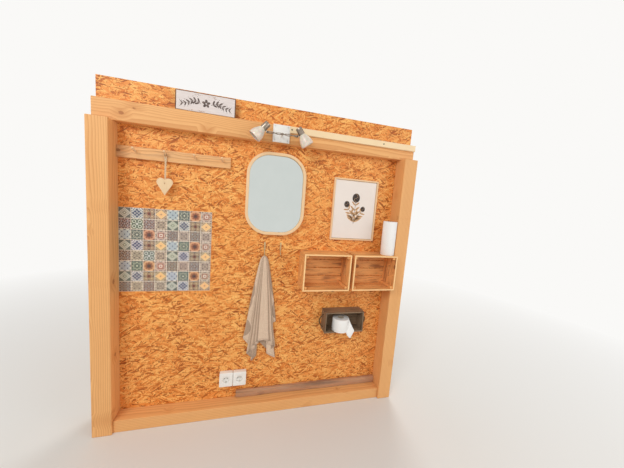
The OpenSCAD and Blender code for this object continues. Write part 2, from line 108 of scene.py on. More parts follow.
camera_data = bpy.data.cameras.new("camera")
camera_data.lens = 14.81
camera_data.clip_start = 0.05
camera = bpy.data.objects.new("camera", camera_data)
camera.location = (-0.1812, -1.6779, 1.3815)
camera.rotation_euler = [math.radians(a) for a in (83.298, -4.510, -14.880)]
scene.collection.objects.link(camera)
scene.camera = camera


def studio_light(name, place, aim, size, watts):
    data = bpy.data.lights.new(name, "AREA")
    data.shape = "DISK"
    data.size = size
    data.energy = watts
    lamp = bpy.data.objects.new(name, data)
    lamp.location = place
    lamp.rotation_euler = (Vector(aim) - Vector(place)).to_track_quat("-Z", "Y").to_euler()
    scene.collection.objects.link(lamp)


studio_light("key", (-2.4, -3.4, 3.6), (0, 0, 1.0), 2.2, 92)
studio_light("fill", (3.4, -3.2, 1.8), (0, 0, 0.9), 3.0, 42)
studio_light("back", (2.2, 4.0, 3.2), (0, 0, 1.0), 2.6, 105)


def to_the_eye(mat, low, high):
    """Low for light that falls on things, high for what the camera, glass and metal see of it."""
    path = node(mat, "ShaderNodeLightPath")
    seen = calc(mat, "MAXIMUM", path.outputs["Is Camera Ray"], path.outputs["Is Glossy Ray"])
    seen = calc(mat, "MAXIMUM", seen, path.outputs["Is Transmission Ray"])
    return spread(mat, seen, 0.0, 1.0, low, high)


ROOM_WHITE = screen(250, 249, 247)
world = bpy.data.worlds.new("studio")
world.use_nodes = True
scene.world = world
sky = world.node_tree.nodes["Background"]
sky.inputs["Color"].default_value = ROOM_WHITE
world.node_tree.links.new(to_the_eye(world, 0.58, 1.0), sky.inputs["Strength"])

floor_mat, floor_shader = material("studio_floor", Base_Color=screen(226, 223, 218), Roughness=0.9)
reach = node(floor_mat, "ShaderNodeVectorMath", {0: node(floor_mat, "ShaderNodeTexCoord").outputs["Object"]},
             operation="LENGTH").outputs["Value"]
strength = to_the_eye(floor_mat, 0.58, 1.0)
glow = node(floor_mat, "ShaderNodeEmission", {"Color": ROOM_WHITE, "Strength": strength})
fade = node(floor_mat, "ShaderNodeMixShader", {0: spread(floor_mat, reach, 1.3, 4.5),
                                               1: floor_shader.outputs[0], 2: glow.outputs[0]})
floor_mat.node_tree.links.new(fade.outputs[0], floor_mat.node_tree.nodes["Material Output"].inputs["Surface"])
bpy.ops.mesh.primitive_circle_add(vertices=96, radius=40, fill_type="NGON", location=(0, 0, 0))
floor = bpy.context.object
floor.name = "studio_floor"
floor.data.transform(Matrix.Translation((0, 0, -0.0005)))
floor.data.materials.append(floor_mat)

# Stud frame: sawn softwood between a bottom and a top plate. Only its ends and its top show.
# The wood is solid: growth rings round a pith outside the stick, pushed aside by knots that run through.


def vector(mat, operation, a, b=(0, 0, 0)):
    made = node(mat, "ShaderNodeVectorMath", {0: a, 1: b}, operation=operation)
    return made.outputs["Value" if operation in ("LENGTH", "DISTANCE") else "Vector"]


def xyz(mat, value):
    return node(mat, "ShaderNodeSeparateXYZ", {0: value}).outputs


def cloud(mat, place, scale=1.0, detail=3.0, stretch=None, roughness=0.5, output="Fac"):
    if stretch:
        place = vector(mat, "MULTIPLY", place, stretch)
    sockets = {"Vector": place, "Scale": scale, "Detail": detail, "Roughness": roughness}
    return node(mat, "ShaderNodeTexNoise", sockets).outputs[output]


def mix(mat, share, a, b, kind="MIX"):
    return node(mat, "ShaderNodeMix", {0: share, 6: a, 7: b}, data_type="RGBA", blend_type=kind).outputs[2]


def grey(mat, value):
    return node(mat, "ShaderNodeCombineColor", {0: value, 1: value, 2: value}).outputs[0]


def relief(mat, shader, height, depth, strength=1.0):
    """Bump of a given depth, in metres for a height from 0 to 1."""
    made = node(mat, "ShaderNodeBump", {"Height": height, "Distance": depth, "Strength": strength})
    mat.node_tree.links.new(made.outputs[0], shader.inputs["Normal"])


def paint(mat, shader, colour):
    mat.node_tree.links.new(colour, shader.inputs["Base Color"])


def object_place(mat):
    return node(mat, "ShaderNodeTexCoord").outputs["Object"]


def timber(name, light, dark, knot, turn=None, ring=0.008, contrast=0.6, knots=0.45, roughness=0.55,
           fibre=0.12, blotch=0.35, wear=None):
    """Solid wood, placed by the piece's grain attribute, or by object coordinates turned along the grain."""
    mat, shader = material(name, Roughness=roughness, Specular_IOR_Level=0.35)
    if turn is None:
        place = node(mat, "ShaderNodeAttribute", attribute_name="grain").outputs["Vector"]
    else:
        place = node(mat, "ShaderNodeMapping", {"Vector": object_place(mat), "Rotation": turn}).outputs[0]
    apart = (2.6, 3.0, 9.0)
    cells = node(mat, "ShaderNodeTexVoronoi", {"Vector": vector(mat, "MULTIPLY", place, apart), "Scale": 1.0})
    centre = vector(mat, "DIVIDE", cells.outputs["Position"], apart)
    off = vector(mat, "MULTIPLY", vector(mat, "SUBTRACT", place, centre), (0.75, 0.1, 1.0))
    away = vector(mat, "LENGTH", off)
    chance = node(mat, "ShaderNodeSeparateColor", {0: cells.outputs["Color"]}).outputs[0]
    present = calc(mat, "LESS_THAN", chance, knots)
    ragged = calc(mat, "MULTIPLY_ADD", cloud(mat, place, 160.0, 2.0), 0.006, away)
    size = calc(mat, "MULTIPLY_ADD", chance, 0.012, 0.005)
    share = calc(mat, "DIVIDE", calc(mat, "SUBTRACT", ragged, 0.003), size)
    core = calc(mat, "MULTIPLY", present, spread(mat, share, 1.0, 0.8))
    halo = calc(mat, "MULTIPLY", present, spread(mat, share, 4.0, 0.6))
    parts = xyz(mat, place)
    sway = cloud(mat, place, detail=2.0, stretch=(1.6, 5.0, 5.0))
    across = calc(mat, "MULTIPLY_ADD", sway, 0.09, parts[2])
    deep = calc(mat, "ADD", parts[1], 0.06)
    radius = calc(mat, "SQRT", calc(mat, "MULTIPLY_ADD", across, across, calc(mat, "MULTIPLY", deep, deep)))
    radius = calc(mat, "MULTIPLY_ADD", halo, 0.014, radius)
    turns = calc(mat, "FRACT", calc(mat, "DIVIDE", radius, ring))
    late = calc(mat, "MULTIPLY", calc(mat, "POWER", turns, 2.5), spread(mat, turns, 1.0, 0.93))
    soft = cloud(mat, place, stretch=(3.0, 22.0, 22.0))
    fibres = cloud(mat, place, detail=4.0, stretch=(22.0, 700.0, 700.0), roughness=0.6)
    tone = calc(mat, "MULTIPLY_ADD", late, contrast, calc(mat, "MULTIPLY", soft, blotch))
    tone = calc(mat, "MULTIPLY_ADD", calc(mat, "SUBTRACT", fibres, 0.5), fibre * 4, tone)
    colour = mix(mat, spread(mat, tone, 0.05, 1.0), light, dark)
    colour = mix(mat, calc(mat, "MULTIPLY", halo, 0.6), colour, dark)
    colour = mix(mat, core, colour, mix(mat, cloud(mat, place, 420.0, 1.0), knot, dark))
    if wear:
        colour = wear(mat, place, colour)
    paint(mat, shader, colour)
    height = calc(mat, "MULTIPLY_ADD", late, 0.35, calc(mat, "MULTIPLY", fibres, 0.5))
    relief(mat, shader, height, 0.0006, 0.5)
    return mat


def dress(name, mat):
    """Gives a CAD node its finish."""
    frame["nodes"][name].data.materials.clear()
    frame["nodes"][name].data.materials.append(mat)


SAWN = dict(light=screen(236, 188, 130), dark=screen(202, 146, 92), knot=screen(120, 74, 44), roughness=0.8,
            fibre=0.2)
sawn_level = timber("sawn_timber_level", turn=(0, 0, 0), **SAWN)
sawn_upright = timber("sawn_timber_upright", turn=(0, math.pi / 2, 0), **SAWN)
for name in ("bottom_plate", "top_plate"):
    dress(name, sawn_level)
for name in ("left_end_stud", "right_end_stud", "joint_stud"):
    dress(name, sawn_upright)

# Lining and outer sheets: strand board. Long flat flakes of pine lie over each other at all angles,
# most of them level, glued under heat and varnished, which turns the wood orange.
FLAKES = (  # turn in degrees, length and width in metres, share of the layer that shows
    (8, 0.037, 0.0080, 1.00), (96, 0.026, 0.0066, 0.36), (-14, 0.042, 0.0082, 0.52),
    (52, 0.029, 0.0062, 0.34), (-64, 0.034, 0.0070, 0.30), (16, 0.046, 0.0086, 0.46),
    (-36, 0.054, 0.0092, 0.22), (36, 0.062, 0.0078, 0.20), (-5, 0.040, 0.0044, 0.22),
    (71, 0.014, 0.0042, 0.10),
)


def blend(mat, share, a, b):
    return node(mat, "ShaderNodeMix", {0: share, 2: a, 3: b}, data_type="FLOAT").outputs[0]


def facing(mat):
    """How far a face looks along X, Y and Z."""
    return xyz(mat, node(mat, "ShaderNodeNewGeometry").outputs["Normal"])


def strand_board(name, light, middle, dark, shift):
    mat, shader = material(name, Roughness=0.5, Specular_IOR_Level=0.3)
    place = object_place(mat)
    lay = {"Vector": place, "Rotation": (math.pi / 2, 0, 0), "Location": (shift, 0, 0)}
    flat = node(mat, "ShaderNodeMapping", lay).outputs[0]
    wobble = vector(mat, "MULTIPLY", cloud(mat, flat, 22.0, 2.0, output="Color"), (0.004, 0.004, 0.0))
    flat = vector(mat, "ADD", flat, wobble)
    colour, height = None, None
    for i, (turn, length, width, cover) in enumerate(FLAKES):
        lay = {"Vector": flat, "Rotation": (0, 0, math.radians(turn)), "Location": (i * 0.37, i * 0.21, 0)}
        turned = node(mat, "ShaderNodeMapping", lay).outputs[0]
        cells = {"Vector": vector(mat, "MULTIPLY", turned, (1 / length, 1 / width, 0.0)), "Scale": 1.0}
        flake, border = [node(mat, "ShaderNodeTexVoronoi", cells, voronoi_dimensions="2D", feature=feature)
                         for feature in ("F1", "DISTANCE_TO_EDGE")]
        edge = border.outputs["Distance"]
        lot = node(mat, "ShaderNodeSeparateColor", {0: flake.outputs["Color"]})
        streak = cloud(mat, turned, detail=2.0, stretch=(18.0, 420.0, 1.0))
        tone = calc(mat, "MULTIPLY_ADD", calc(mat, "SUBTRACT", streak, 0.5), 0.6, lot.outputs[0])
        ramp = node(mat, "ShaderNodeValToRGB", {0: tone})
        stops = ramp.color_ramp.elements
        stops[0].position, stops[0].color = 0.0, dark
        stops[1].position, stops[1].color = 0.95, light
        stops.new(0.34).color = middle
        # Each flake is darkened along its edge: partly the small gap round it, partly painted shade where it
        # lies over the flake below.
        rim = grey(mat, spread(mat, edge, 0.0, 0.08, 0.86, 1.0))
        own = mix(mat, 1.0, ramp.outputs[0], rim, "MULTIPLY")
        own_height = calc(mat, "MULTIPLY_ADD", spread(mat, edge, 0.0, 0.06), 0.5, lot.outputs[2])
        if colour is None:
            colour, height = own, own_height
            continue
        shows = calc(mat, "LESS_THAN", lot.outputs[1], cover)
        colour = mix(mat, shows, colour, own)
        height = blend(mat, shows, height, own_height)
    colour = mix(mat, spread(mat, cloud(mat, flat, 3.2), 0.35, 0.75, 0.0, 0.3), colour, middle)
    specks = cloud(mat, flat, detail=2.0, stretch=(150.0, 330.0, 1.0))
    colour = mix(mat, spread(mat, specks, 0.60, 0.68, 0.0, 0.75), colour, screen(140, 70, 32))
    sawn_edge = calc(mat, "LESS_THAN", calc(mat, "ABSOLUTE", facing(mat)[1]), 0.5)
    layers = cloud(mat, place, stretch=(30.0, 700.0, 30.0))
    colour = mix(mat, sawn_edge, colour, mix(mat, spread(mat, layers, 0.3, 0.7), dark, light))
    paint(mat, shader, colour)
    relief(mat, shader, height, 0.0008, 0.35)
    return mat


BOARD = dict(light=screen(255, 196, 112), middle=screen(231, 137, 59), dark=screen(148, 72, 26))
for name, shift in (("lining", 0.0), ("back_sheet_left", 5.3), ("back_sheet_right", 9.1)):
    dress(name, strand_board("strand_board_" + name, shift=shift, **BOARD))

# Posts, top rail and foot beam: planed pine with eased edges, butted together and screwed through the
# lining. The old board on the foot beam is grey, worn and wavy along its edge.


def grain_layer(bm):
    return bm.verts.layers.float_vector.get("grain") or bm.verts.layers.float_vector.new("grain")


def lay_grain(bm, verts, along, seed):
    """Each vertex keeps its place in the tree: X along the grain, Y through the thin way, Z across."""
    layer = grain_layer(bm)
    low = Vector([min(v.co[a] for v in verts) for a in range(3)])
    high = Vector([max(v.co[a] for v in verts) for a in range(3)])
    axis = "xyz".index(along)
    across = sorted((a for a in range(3) if a != axis), key=lambda a: high[a] - low[a])
    middle = (low + high) / 2
    dice = random.Random(seed)
    shift = Vector([dice.uniform(-20, 20), dice.uniform(-0.02, 0.02), dice.uniform(-0.03, 0.03)])
    for v in verts:
        local = v.co - middle
        v[layer] = Vector((local[axis], local[across[0]], local[across[1]])) + shift


# The noise that gives worn wood its waves starts from the clock unless it is given a seed.
solid_noise.seed_set(1)


def stick(bm, low, high, along, bevel, seed=0, cuts=0, wave=0.0, mitre=None):
    """A sawn length with eased edges. Cuts and wave, in metres, wear it; mitre names its outer side."""
    grain_layer(bm)
    low, high = Vector(low), Vector(high)
    middle = (low + high) / 2
    old = set(bm.verts)
    fit = Matrix.Translation(middle) @ Matrix.Diagonal((*(high - low), 1))
    bmesh.ops.create_cube(bm, size=1.0, matrix=fit)
    edges = [e for e in bm.edges if e.verts[0] not in old]
    bmesh.ops.bevel(bm, geom=edges, offset=bevel, segments=2, profile=0.5, affect="EDGES", material=-1)
    axis = "xyz".index(along)
    square = [float(a == axis) for a in range(3)]
    for i in range(1, cuts):
        verts = [v for v in bm.verts if v not in old]
        edges = [e for e in bm.edges if e.verts[0] not in old]
        faces = [f for f in bm.faces if f.verts[0] not in old]
        at = low.lerp(high, i / cuts)
        bmesh.ops.bisect_plane(bm, geom=verts + edges + faces, plane_co=at, plane_no=square)
    verts = [v for v in bm.verts if v not in old]
    lay_grain(bm, verts, along, seed)
    for v in verts:
        if wave:
            push = solid_noise.noise_vector(v.co * 9 + Vector((seed * 3.1, 0, 0)))
            push += 0.5 * solid_noise.noise_vector(v.co * 34)
            for a in range(3):
                if a != axis:
                    v.co[a] += math.copysign(abs(push[a]) * wave, middle[a] - v.co[a])
        if mitre:
            side = "xyz".index(mitre[1])
            edge = high[side] if mitre[0] == "+" else low[side]
            v.co[axis] -= math.copysign(abs(edge - v.co[side]), v.co[axis] - middle[axis])
    return verts


def piece(name, bm, mat, slot, *nodes, body="root", crease=None, shut=True):
    """Turns a bmesh into a piece that rides on its body, in place of the CAD nodes that are named."""
    if shut:
        bmesh.ops.recalc_face_normals(bm, faces=bm.faces)
    mesh = bpy.data.meshes.new(name)
    bm.to_mesh(mesh)
    bm.free()
    if crease is not None:
        mesh.shade_smooth()
        mesh.set_sharp_from_angle(angle=math.radians(crease))
    made = bpy.data.objects.new(name, mesh)
    scene.collection.objects.link(made)
    mesh.materials.append(mat)
    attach(made, body)
    if nodes:
        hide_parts(*nodes)
    return made


planed = timber("planed_timber", screen(240, 183, 119), screen(206, 139, 79), screen(142, 80, 42), ring=0.010,
                knots=0.75, contrast=0.75)
TIMBERS = (("left_post", "z"), ("right_post", "z"), ("top_rail", "x"), ("sole_beam", "x"))
for seed, (name, along) in enumerate(TIMBERS):
    bm = bmesh.new()
    stick(bm, *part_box(name), along, 0.003, seed + 4)
    piece(name + "_planed", bm, planed, "planed_timber", name)


def silvered(mat, place, colour):
    """Grey-mauve weathering that lies in the soft wood, with darker streaks of damp."""
    worn = cloud(mat, place, detail=4.0, stretch=(7.0, 90.0, 90.0), roughness=0.65)
    colour = mix(mat, spread(mat, worn, 0.35, 0.7, 0.15, 0.75), colour, screen(168, 138, 120))
    damp = cloud(mat, place, stretch=(3.0, 30.0, 30.0))
    return mix(mat, spread(mat, damp, 0.55, 0.75, 0.0, 0.6), colour, screen(96, 74, 62))


aged = timber("aged_board", screen(222, 164, 116), screen(128, 86, 60), screen(84, 54, 40), contrast=0.8,
              roughness=0.8, fibre=0.3, wear=silvered)
bm = bmesh.new()
stick(bm, *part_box("weathered_strip"), "x", 0.003, 11, cuts=70, wave=0.006)
piece("weathered_strip_worn", bm, aged, "aged_board", "weathered_strip", crease=50)

# Outer side: corner boards, head board and foot board of planed pine over the strand board sheets,
# face-screwed. The sheets meet on the joint stud and are screwed down both sides of the joint.
for seed, (name, along) in enumerate((("back_trim_left", "z"), ("back_trim_right", "z"), ("back_rail", "x"),
                                      ("back_foot_board", "x"))):
    bm = bmesh.new()
    stick(bm, *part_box(name), along, 0.0025, seed + 21)
    piece(name + "_planed", bm, planed, "planed_timber", name)


def brushed(name, colour, roughness):
    """Metal with fine drawn lines in its tone and its gloss."""
    mat, shader = material(name, Metallic=1.0)
    lines = spread(mat, cloud(mat, object_place(mat), stretch=(40.0, 40.0, 900.0)), 0.3, 0.7)
    paint(mat, shader, mix(mat, lines, tuple(c * 0.78 for c in colour[:3]) + (1.0,), colour))
    gloss = spread(mat, lines, 0.0, 1.0, roughness * 0.8, roughness * 1.3)
    mat.node_tree.links.new(gloss, shader.inputs["Roughness"])
    relief(mat, shader, lines, 0.00005, 0.4)
    return mat


def pull(bm, face, way):
    """Draws a face out along a way, and returns the new end face."""
    made = bmesh.ops.extrude_face_region(bm, geom=[face])["geom"]
    end = [g for g in made if isinstance(g, bmesh.types.BMFace)][0]
    bmesh.ops.translate(bm, verts=end.verts, vec=way)
    return end


def screw_head(bm, at, out, radius=0.004):
    """A low round head with a round recess, facing the way out."""
    turn = Vector(out).to_track_quat("Z", "Y").to_matrix().to_4x4()
    base = bmesh.ops.create_circle(bm, cap_ends=True, segments=14, radius=radius)["verts"]
    face = pull(bm, base[0].link_faces[0], (0, 0, 0.0008))
    bmesh.ops.scale(bm, verts=face.verts, vec=(0.9, 0.9, 1.0))
    verts = set(base) | set(face.verts)
    bmesh.ops.inset_individual(bm, faces=[face], thickness=radius * 0.45)
    bmesh.ops.translate(bm, verts=face.verts, vec=(0, 0, -0.0005))
    bmesh.ops.transform(bm, matrix=Matrix.Translation(at) @ turn, verts=list(verts | set(face.verts)))


zinc = brushed("zinc_screws", screen(196, 190, 176), 0.35)
NEAR_EDGE, FAR_EDGE, JOINT_SIDE, END_IN = 0.022, 0.073, 0.011, 0.06  # screws from edges, joint and ends
left_sheet, right_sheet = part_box("back_sheet_left"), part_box("back_sheet_right")
board_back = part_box("back_rail")[1].y
low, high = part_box("back_foot_board")
bm = bmesh.new()
for i in range(5):
    for inset in (NEAR_EDGE, FAR_EDGE):
        for x in (cad_low.x + inset, cad_high.x - inset):
            screw_head(bm, (x, board_back, 0.12 + 0.37 * i), (0, 1, 0))
    for z in ((low.z + high.z) / 2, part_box("back_rail")[0].z + 0.05):
        screw_head(bm, (low.x + END_IN + i * (high.x - low.x - 2 * END_IN) / 4, board_back, z), (0, 1, 0))
joint_x = (left_sheet[1].x + right_sheet[0].x) / 2
for i in range(8):
    for x in (joint_x - JOINT_SIDE, joint_x + JOINT_SIDE):
        screw_head(bm, (x, left_sheet[1].y, 0.16 + 0.21 * i), (0, 1, 0))
piece("outer_screws", bm, zinc, "steel", crease=35)

# Tile panel: eight rows of eight small glazed tiles with old patchwork patterns, a cream grout between
# them. The patterns come in the same order along the rows, moved on by a few tiles from row to row.
TILES = 8
GROUT = 0.003
tile_low, tile_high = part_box("tile_panel")
pitch = (tile_high.x - tile_low.x) / TILES


def far(mat, u, v, u0, v0):
    """Distance in the tile from a point, for tiles that run from -1 to 1."""
    du, dv = calc(mat, "SUBTRACT", u, u0), calc(mat, "SUBTRACT", v, v0)
    return calc(mat, "SQRT", calc(mat, "MULTIPLY_ADD", du, du, calc(mat, "MULTIPLY", dv, dv)))


def motif(mat, u, v, kind, size, width):
    """Mask of one figure: u and v are the distances from the tile's middle lines."""
    if kind == "diamond":
        distance = calc(mat, "ADD", u, v)
    elif kind == "disc":
        distance = far(mat, u, v, 0.0, 0.0)
    elif kind == "corners":
        distance = far(mat, u, v, 1.0, 1.0)
    elif kind == "sides":
        distance = calc(mat, "MINIMUM", far(mat, u, v, 1.0, 0.0), far(mat, u, v, 0.0, 1.0))
    elif kind == "four":
        distance = far(mat, u, v, 0.46, 0.46)
    elif kind == "cross":
        distance = calc(mat, "MINIMUM", u, v)
    elif kind == "lozenge":
        distance = calc(mat, "MULTIPLY_ADD", v, 1.12, u)
    elif kind == "petals":
        angle = calc(mat, "ARCTAN2", v, u)
        wave = calc(mat, "ABSOLUTE", calc(mat, "COSINE", calc(mat, "MULTIPLY", angle, 4.0)))
        distance = calc(mat, "SUBTRACT", far(mat, u, v, 0.0, 0.0), calc(mat, "MULTIPLY", wave, size * 0.45))
    else:
        one_way = calc(mat, "PINGPONG", calc(mat, "ADD", u, v), size)
        other_way = calc(mat, "PINGPONG", calc(mat, "ABSOLUTE", calc(mat, "SUBTRACT", u, v)), size)
        distance = calc(mat, "MAXIMUM", one_way, other_way)
    if width:
        distance = calc(mat, "ABSOLUTE", calc(mat, "SUBTRACT", distance, size))
        size = width
    return spread(mat, distance, size + 0.02, size - 0.02)


def tile_glaze(name, ground, figures):
    """A glazed tile: a ground colour and figures laid over it as (kind, size, line width or 0, colour)."""
    mat, shader = material("tile_" + name, Roughness=0.22, Coat_Weight=0.3)
    place = node(mat, "ShaderNodeAttribute", attribute_name="tile").outputs["Vector"]
    shaky = vector(mat, "SUBTRACT", cloud(mat, place, 5.0, 2.0, output="Color"), (0.5, 0.5, 0.5))
    drawn = vector(mat, "ADD", place, vector(mat, "MULTIPLY", shaky, (0.07, 0.07, 0.0)))
    u, v = [calc(mat, "ABSOLUTE", part) for part in xyz(mat, drawn)[:2]]
    deep, pale = [c * 0.9 for c in ground], [min(255, c * 1.06) for c in ground]
    colour = mix(mat, spread(mat, cloud(mat, place, 3.0), 0.3, 0.7), screen(*deep), screen(*pale))
    for kind, size, width, tint in figures:
        bold = [min(250, max(36, g + (t - g) * 1.35)) for g, t in zip(ground, tint)]
        colour = mix(mat, motif(mat, u, v, kind, size, width), colour, screen(*bold))
    worn = calc(mat, "MULTIPLY", spread(mat, cloud(mat, place, 7.0, 5.0), 0.45, 0.75), 0.35)
    colour = mix(mat, worn, colour, screen(*[0.5 * c + 90 for c in ground]))
    number = xyz(mat, place)[2]
    batch = node(mat, "ShaderNodeTexWhiteNoise", {"W": number}, noise_dimensions="1D").outputs["Color"]
    paint(mat, shader, mix(mat, 0.08, colour, batch, "OVERLAY"))
    relief(mat, shader, cloud(mat, place, 2.5, 2.0), 0.0004, 0.25)
    return mat


INK_BLUE, CHALK, PALE_BLUE, SOOT = (82, 86, 110), (214, 210, 202), (190, 190, 194), (66, 57, 54)
BROWN, SAND, RUST, CREAM = (112, 88, 74), (164, 146, 126), (176, 104, 70), (230, 218, 202)
UMBER, COCOA, MOSS, FROST = (112, 84, 76), (126, 108, 94), (196, 198, 178), (204, 204, 192)
GLAZES = {
    "A": (CHALK, (
        ("corners", 0.62, 0.06, (112, 118, 136)), ("four", 0.52, 0.03, (140, 146, 152)),
        ("diamond", 0.98, 0, CHALK), ("diamond", 0.90, 0, (84, 90, 118)), ("weave", 0.30, 0.05, CHALK),
        ("sides", 0.12, 0, INK_BLUE), ("corners", 0.30, 0, INK_BLUE), ("corners", 0.14, 0, CHALK))),
    "B": (BROWN, (
        ("four", 0.42, 0, (178, 152, 118)), ("four", 0.26, 0.05, BROWN), ("petals", 0.26, 0, (136, 78, 56)),
        ("cross", 0, 0.05, (92, 62, 50)), ("disc", 0.12, 0, SOOT), ("sides", 0.22, 0, SOOT),
        ("sides", 0.10, 0, CREAM), ("corners", 0.16, 0, SOOT))),
    "C": ((172, 140, 112), (
        ("weave", 0.25, 0.04, (206, 180, 146)), ("lozenge", 0.94, 0, (232, 190, 134)),
        ("lozenge", 0.62, 0.04, (216, 150, 98)), ("lozenge", 0.28, 0.05, (216, 146, 94)),
        ("disc", 0.09, 0, BROWN), ("corners", 0.36, 0.05, (120, 104, 78)),
        ("corners", 0.20, 0, (96, 66, 56)))),
    "D": (CHALK, (
        ("petals", 0.58, 0, PALE_BLUE), ("petals", 0.66, 0.03, (128, 134, 150)),
        ("disc", 0.30, 0, (152, 158, 174)), ("disc", 0.20, 0.04, CHALK), ("disc", 0.09, 0, INK_BLUE),
        ("four", 0.11, 0, INK_BLUE), ("corners", 0.28, 0, INK_BLUE), ("corners", 0.12, 0, CHALK),
        ("sides", 0.22, 0, INK_BLUE), ("sides", 0.09, 0, CHALK))),
    "E": ((88, 94, 84), (
        ("weave", 0.25, 0.04, (114, 122, 108)), ("petals", 0.50, 0.05, (176, 178, 156)),
        ("diamond", 0.62, 0.05, (140, 142, 122)), ("disc", 0.14, 0, (190, 188, 164)),
        ("corners", 0.44, 0.05, (130, 142, 128)), ("corners", 0.24, 0, SOOT), ("sides", 0.16, 0, SOOT))),
    "F": ((206, 148, 106), (
        ("petals", 0.52, 0, (166, 104, 70)), ("petals", 0.30, 0, (120, 74, 56)), ("disc", 0.12, 0, SOOT),
        ("disc", 0.90, 0.03, (236, 184, 138)), ("corners", 0.34, 0, (118, 74, 56)),
        ("corners", 0.14, 0, (206, 144, 98)), ("sides", 0.10, 0, (112, 72, 56)))),
    "G": ((210, 186, 166), (
        ("weave", 0.33, 0.04, (184, 154, 134)), ("disc", 0.48, 0.07, RUST), ("disc", 0.28, 0, CREAM),
        ("disc", 0.16, 0, RUST), ("sides", 0.28, 0, UMBER), ("sides", 0.14, 0, CREAM),
        ("corners", 0.34, 0, UMBER), ("corners", 0.17, 0, CREAM), ("four", 0.09, 0, UMBER))),
    "H": ((108, 112, 98), (
        ("lozenge", 1.02, 0, (200, 198, 180)), ("lozenge", 0.88, 0, (156, 156, 136)),
        ("lozenge", 0.58, 0.05, MOSS), ("lozenge", 0.30, 0, (120, 126, 108)), ("disc", 0.12, 0, MOSS),
        ("corners", 0.24, 0, SOOT))),
    "I": ((98, 78, 68), (
        ("weave", 0.25, 0.06, (176, 152, 136)), ("four", 0.17, 0, SOOT), ("four", 0.07, 0, CREAM),
        ("disc", 0.19, 0, SOOT), ("disc", 0.07, 0, CREAM), ("sides", 0.22, 0, SOOT),
        ("sides", 0.12, 0, CREAM), ("corners", 0.20, 0, SOOT))),
    "J": (SAND, (
        ("weave", 0.25, 0.05, (212, 192, 170)), ("disc", 0.54, 0.05, (126, 106, 92)),
        ("disc", 0.20, 0.04, (126, 106, 92)), ("four", 0.15, 0, COCOA), ("corners", 0.28, 0, COCOA),
        ("corners", 0.12, 0, (210, 192, 172)), ("sides", 0.12, 0, (214, 196, 176)))),
    "K": ((100, 104, 90), (
        ("weave", 0.25, 0.04, (146, 154, 138)), ("cross", 0, 0.06, (78, 88, 78)),
        ("four", 0.26, 0.05, (196, 198, 186)), ("four", 0.12, 0, SOOT), ("disc", 0.20, 0, (214, 214, 204)),
        ("disc", 0.09, 0, SOOT), ("corners", 0.22, 0, FROST), ("sides", 0.16, 0, FROST))),
}
ROWS = ("HABCDEFG", "IKIJHABC", "DEFGIJIJ", "HABCDEFG", "IJKJHABC", "DEFGIJIJ", "HABCDEFG", "IJIJHABC")

bm = bmesh.new()
place = bm.verts.layers.float_vector.new("tile")
patterns = sorted(GLAZES)
tile_t = tile_high.y - tile_low.y - 0.0004
for row, letters in enumerate(ROWS):
    for column, letter in enumerate(letters):
        old, old_faces = set(bm.verts), set(bm.faces)
        centre = Vector((tile_low.x + pitch * (column + 0.5), tile_low.y + tile_t / 2,
                         tile_high.z - pitch * (row + 0.5)))
        fit = Matrix.Diagonal((pitch - GROUT, tile_t, pitch - GROUT, 1))
        bmesh.ops.create_cube(bm, size=1.0, matrix=Matrix.Translation(centre) @ fit)
        front = min((f for f in bm.faces if f not in old_faces), key=lambda f: f.calc_center_median().y)
        bmesh.ops.bevel(bm, geom=list(front.edges), offset=0.0012, segments=2, profile=0.5, affect="EDGES",
                        material=-1)
        dice = random.Random(row * TILES + column)
        lift, yaw = dice.uniform(0.0001, 0.0003), dice.uniform(-0.003, 0.003)
        for v in (v for v in bm.verts if v not in old):
            local = (v.co - centre) * 2 / pitch
            v[place] = Vector((local.x, local.z, row * TILES + column))
            v.co.y += lift + yaw * (v.co.x - centre.x)
        for f in (f for f in bm.faces if f not in old_faces):
            f.material_index = patterns.index(letter)
glazes = [tile_glaze(letter, *GLAZES[letter]) for letter in patterns]
tiles = piece("patterned_tiles", bm, glazes[0], "patterned_tile", "tile_panel")
for glaze in glazes[1:]:
    tiles.data.materials.append(glaze)

grout_mat, shader = material("tile_grout", Roughness=0.9)
spots = spread(grout_mat, cloud(grout_mat, object_place(grout_mat), 220.0, 4.0), 0.3, 0.7)
paint(grout_mat, shader, mix(grout_mat, spots, screen(214, 196, 172), screen(236, 222, 202)))
relief(grout_mat, shader, spots, 0.0005)
bm = bmesh.new()
stick(bm, tile_low + Vector((0, 0.0011, 0)), tile_high, "x", 0.0006)
piece("tile_grout", bm, grout_mat, "patterned_tile")

# Mirror: a tall rounded frame of steam-bent pale wood with soft lips, and a silvered glass set in its
# back. The grain runs round the frame.
pale_wood = timber("pale_wood", screen(243, 208, 163), screen(219, 173, 126), screen(184, 132, 88),
                   knots=0.04, ring=0.004, contrast=0.4, fibre=0.06)
MIRROR_FACE, MIRROR_ROUND, MIRROR_REBATE, LIP, LIP_STEPS = 0.018, 0.140, 0.005, 0.004, 4
low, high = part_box("mirror_frame")
centre = (low + high) / 2


def rounded_loop(bm, centre, width, height, radius, y, steps=14):
    """The points of a rectangle with round corners, square to Y, in order round its middle."""
    ring = []
    for quarter, (sx, sz) in enumerate(((1, 1), (-1, 1), (-1, -1), (1, -1))):
        for i in range(steps + 1):
            a = math.pi / 2 * (quarter + i / steps)
            ring.append(bm.verts.new((centre.x + sx * (width / 2 - radius) + radius * math.cos(a), y,
                                      centre.z + sz * (height / 2 - radius) + radius * math.sin(a))))
    return ring


def lip(inset, out, start):
    """Round lip of the frame's section about (inset, out), a quarter turn back from a start angle."""
    turns = [math.radians(start - 90 * i / LIP_STEPS) for i in range(LIP_STEPS + 1)]
    return [(inset + LIP * math.cos(a), out + LIP * math.sin(a)) for a in turns]


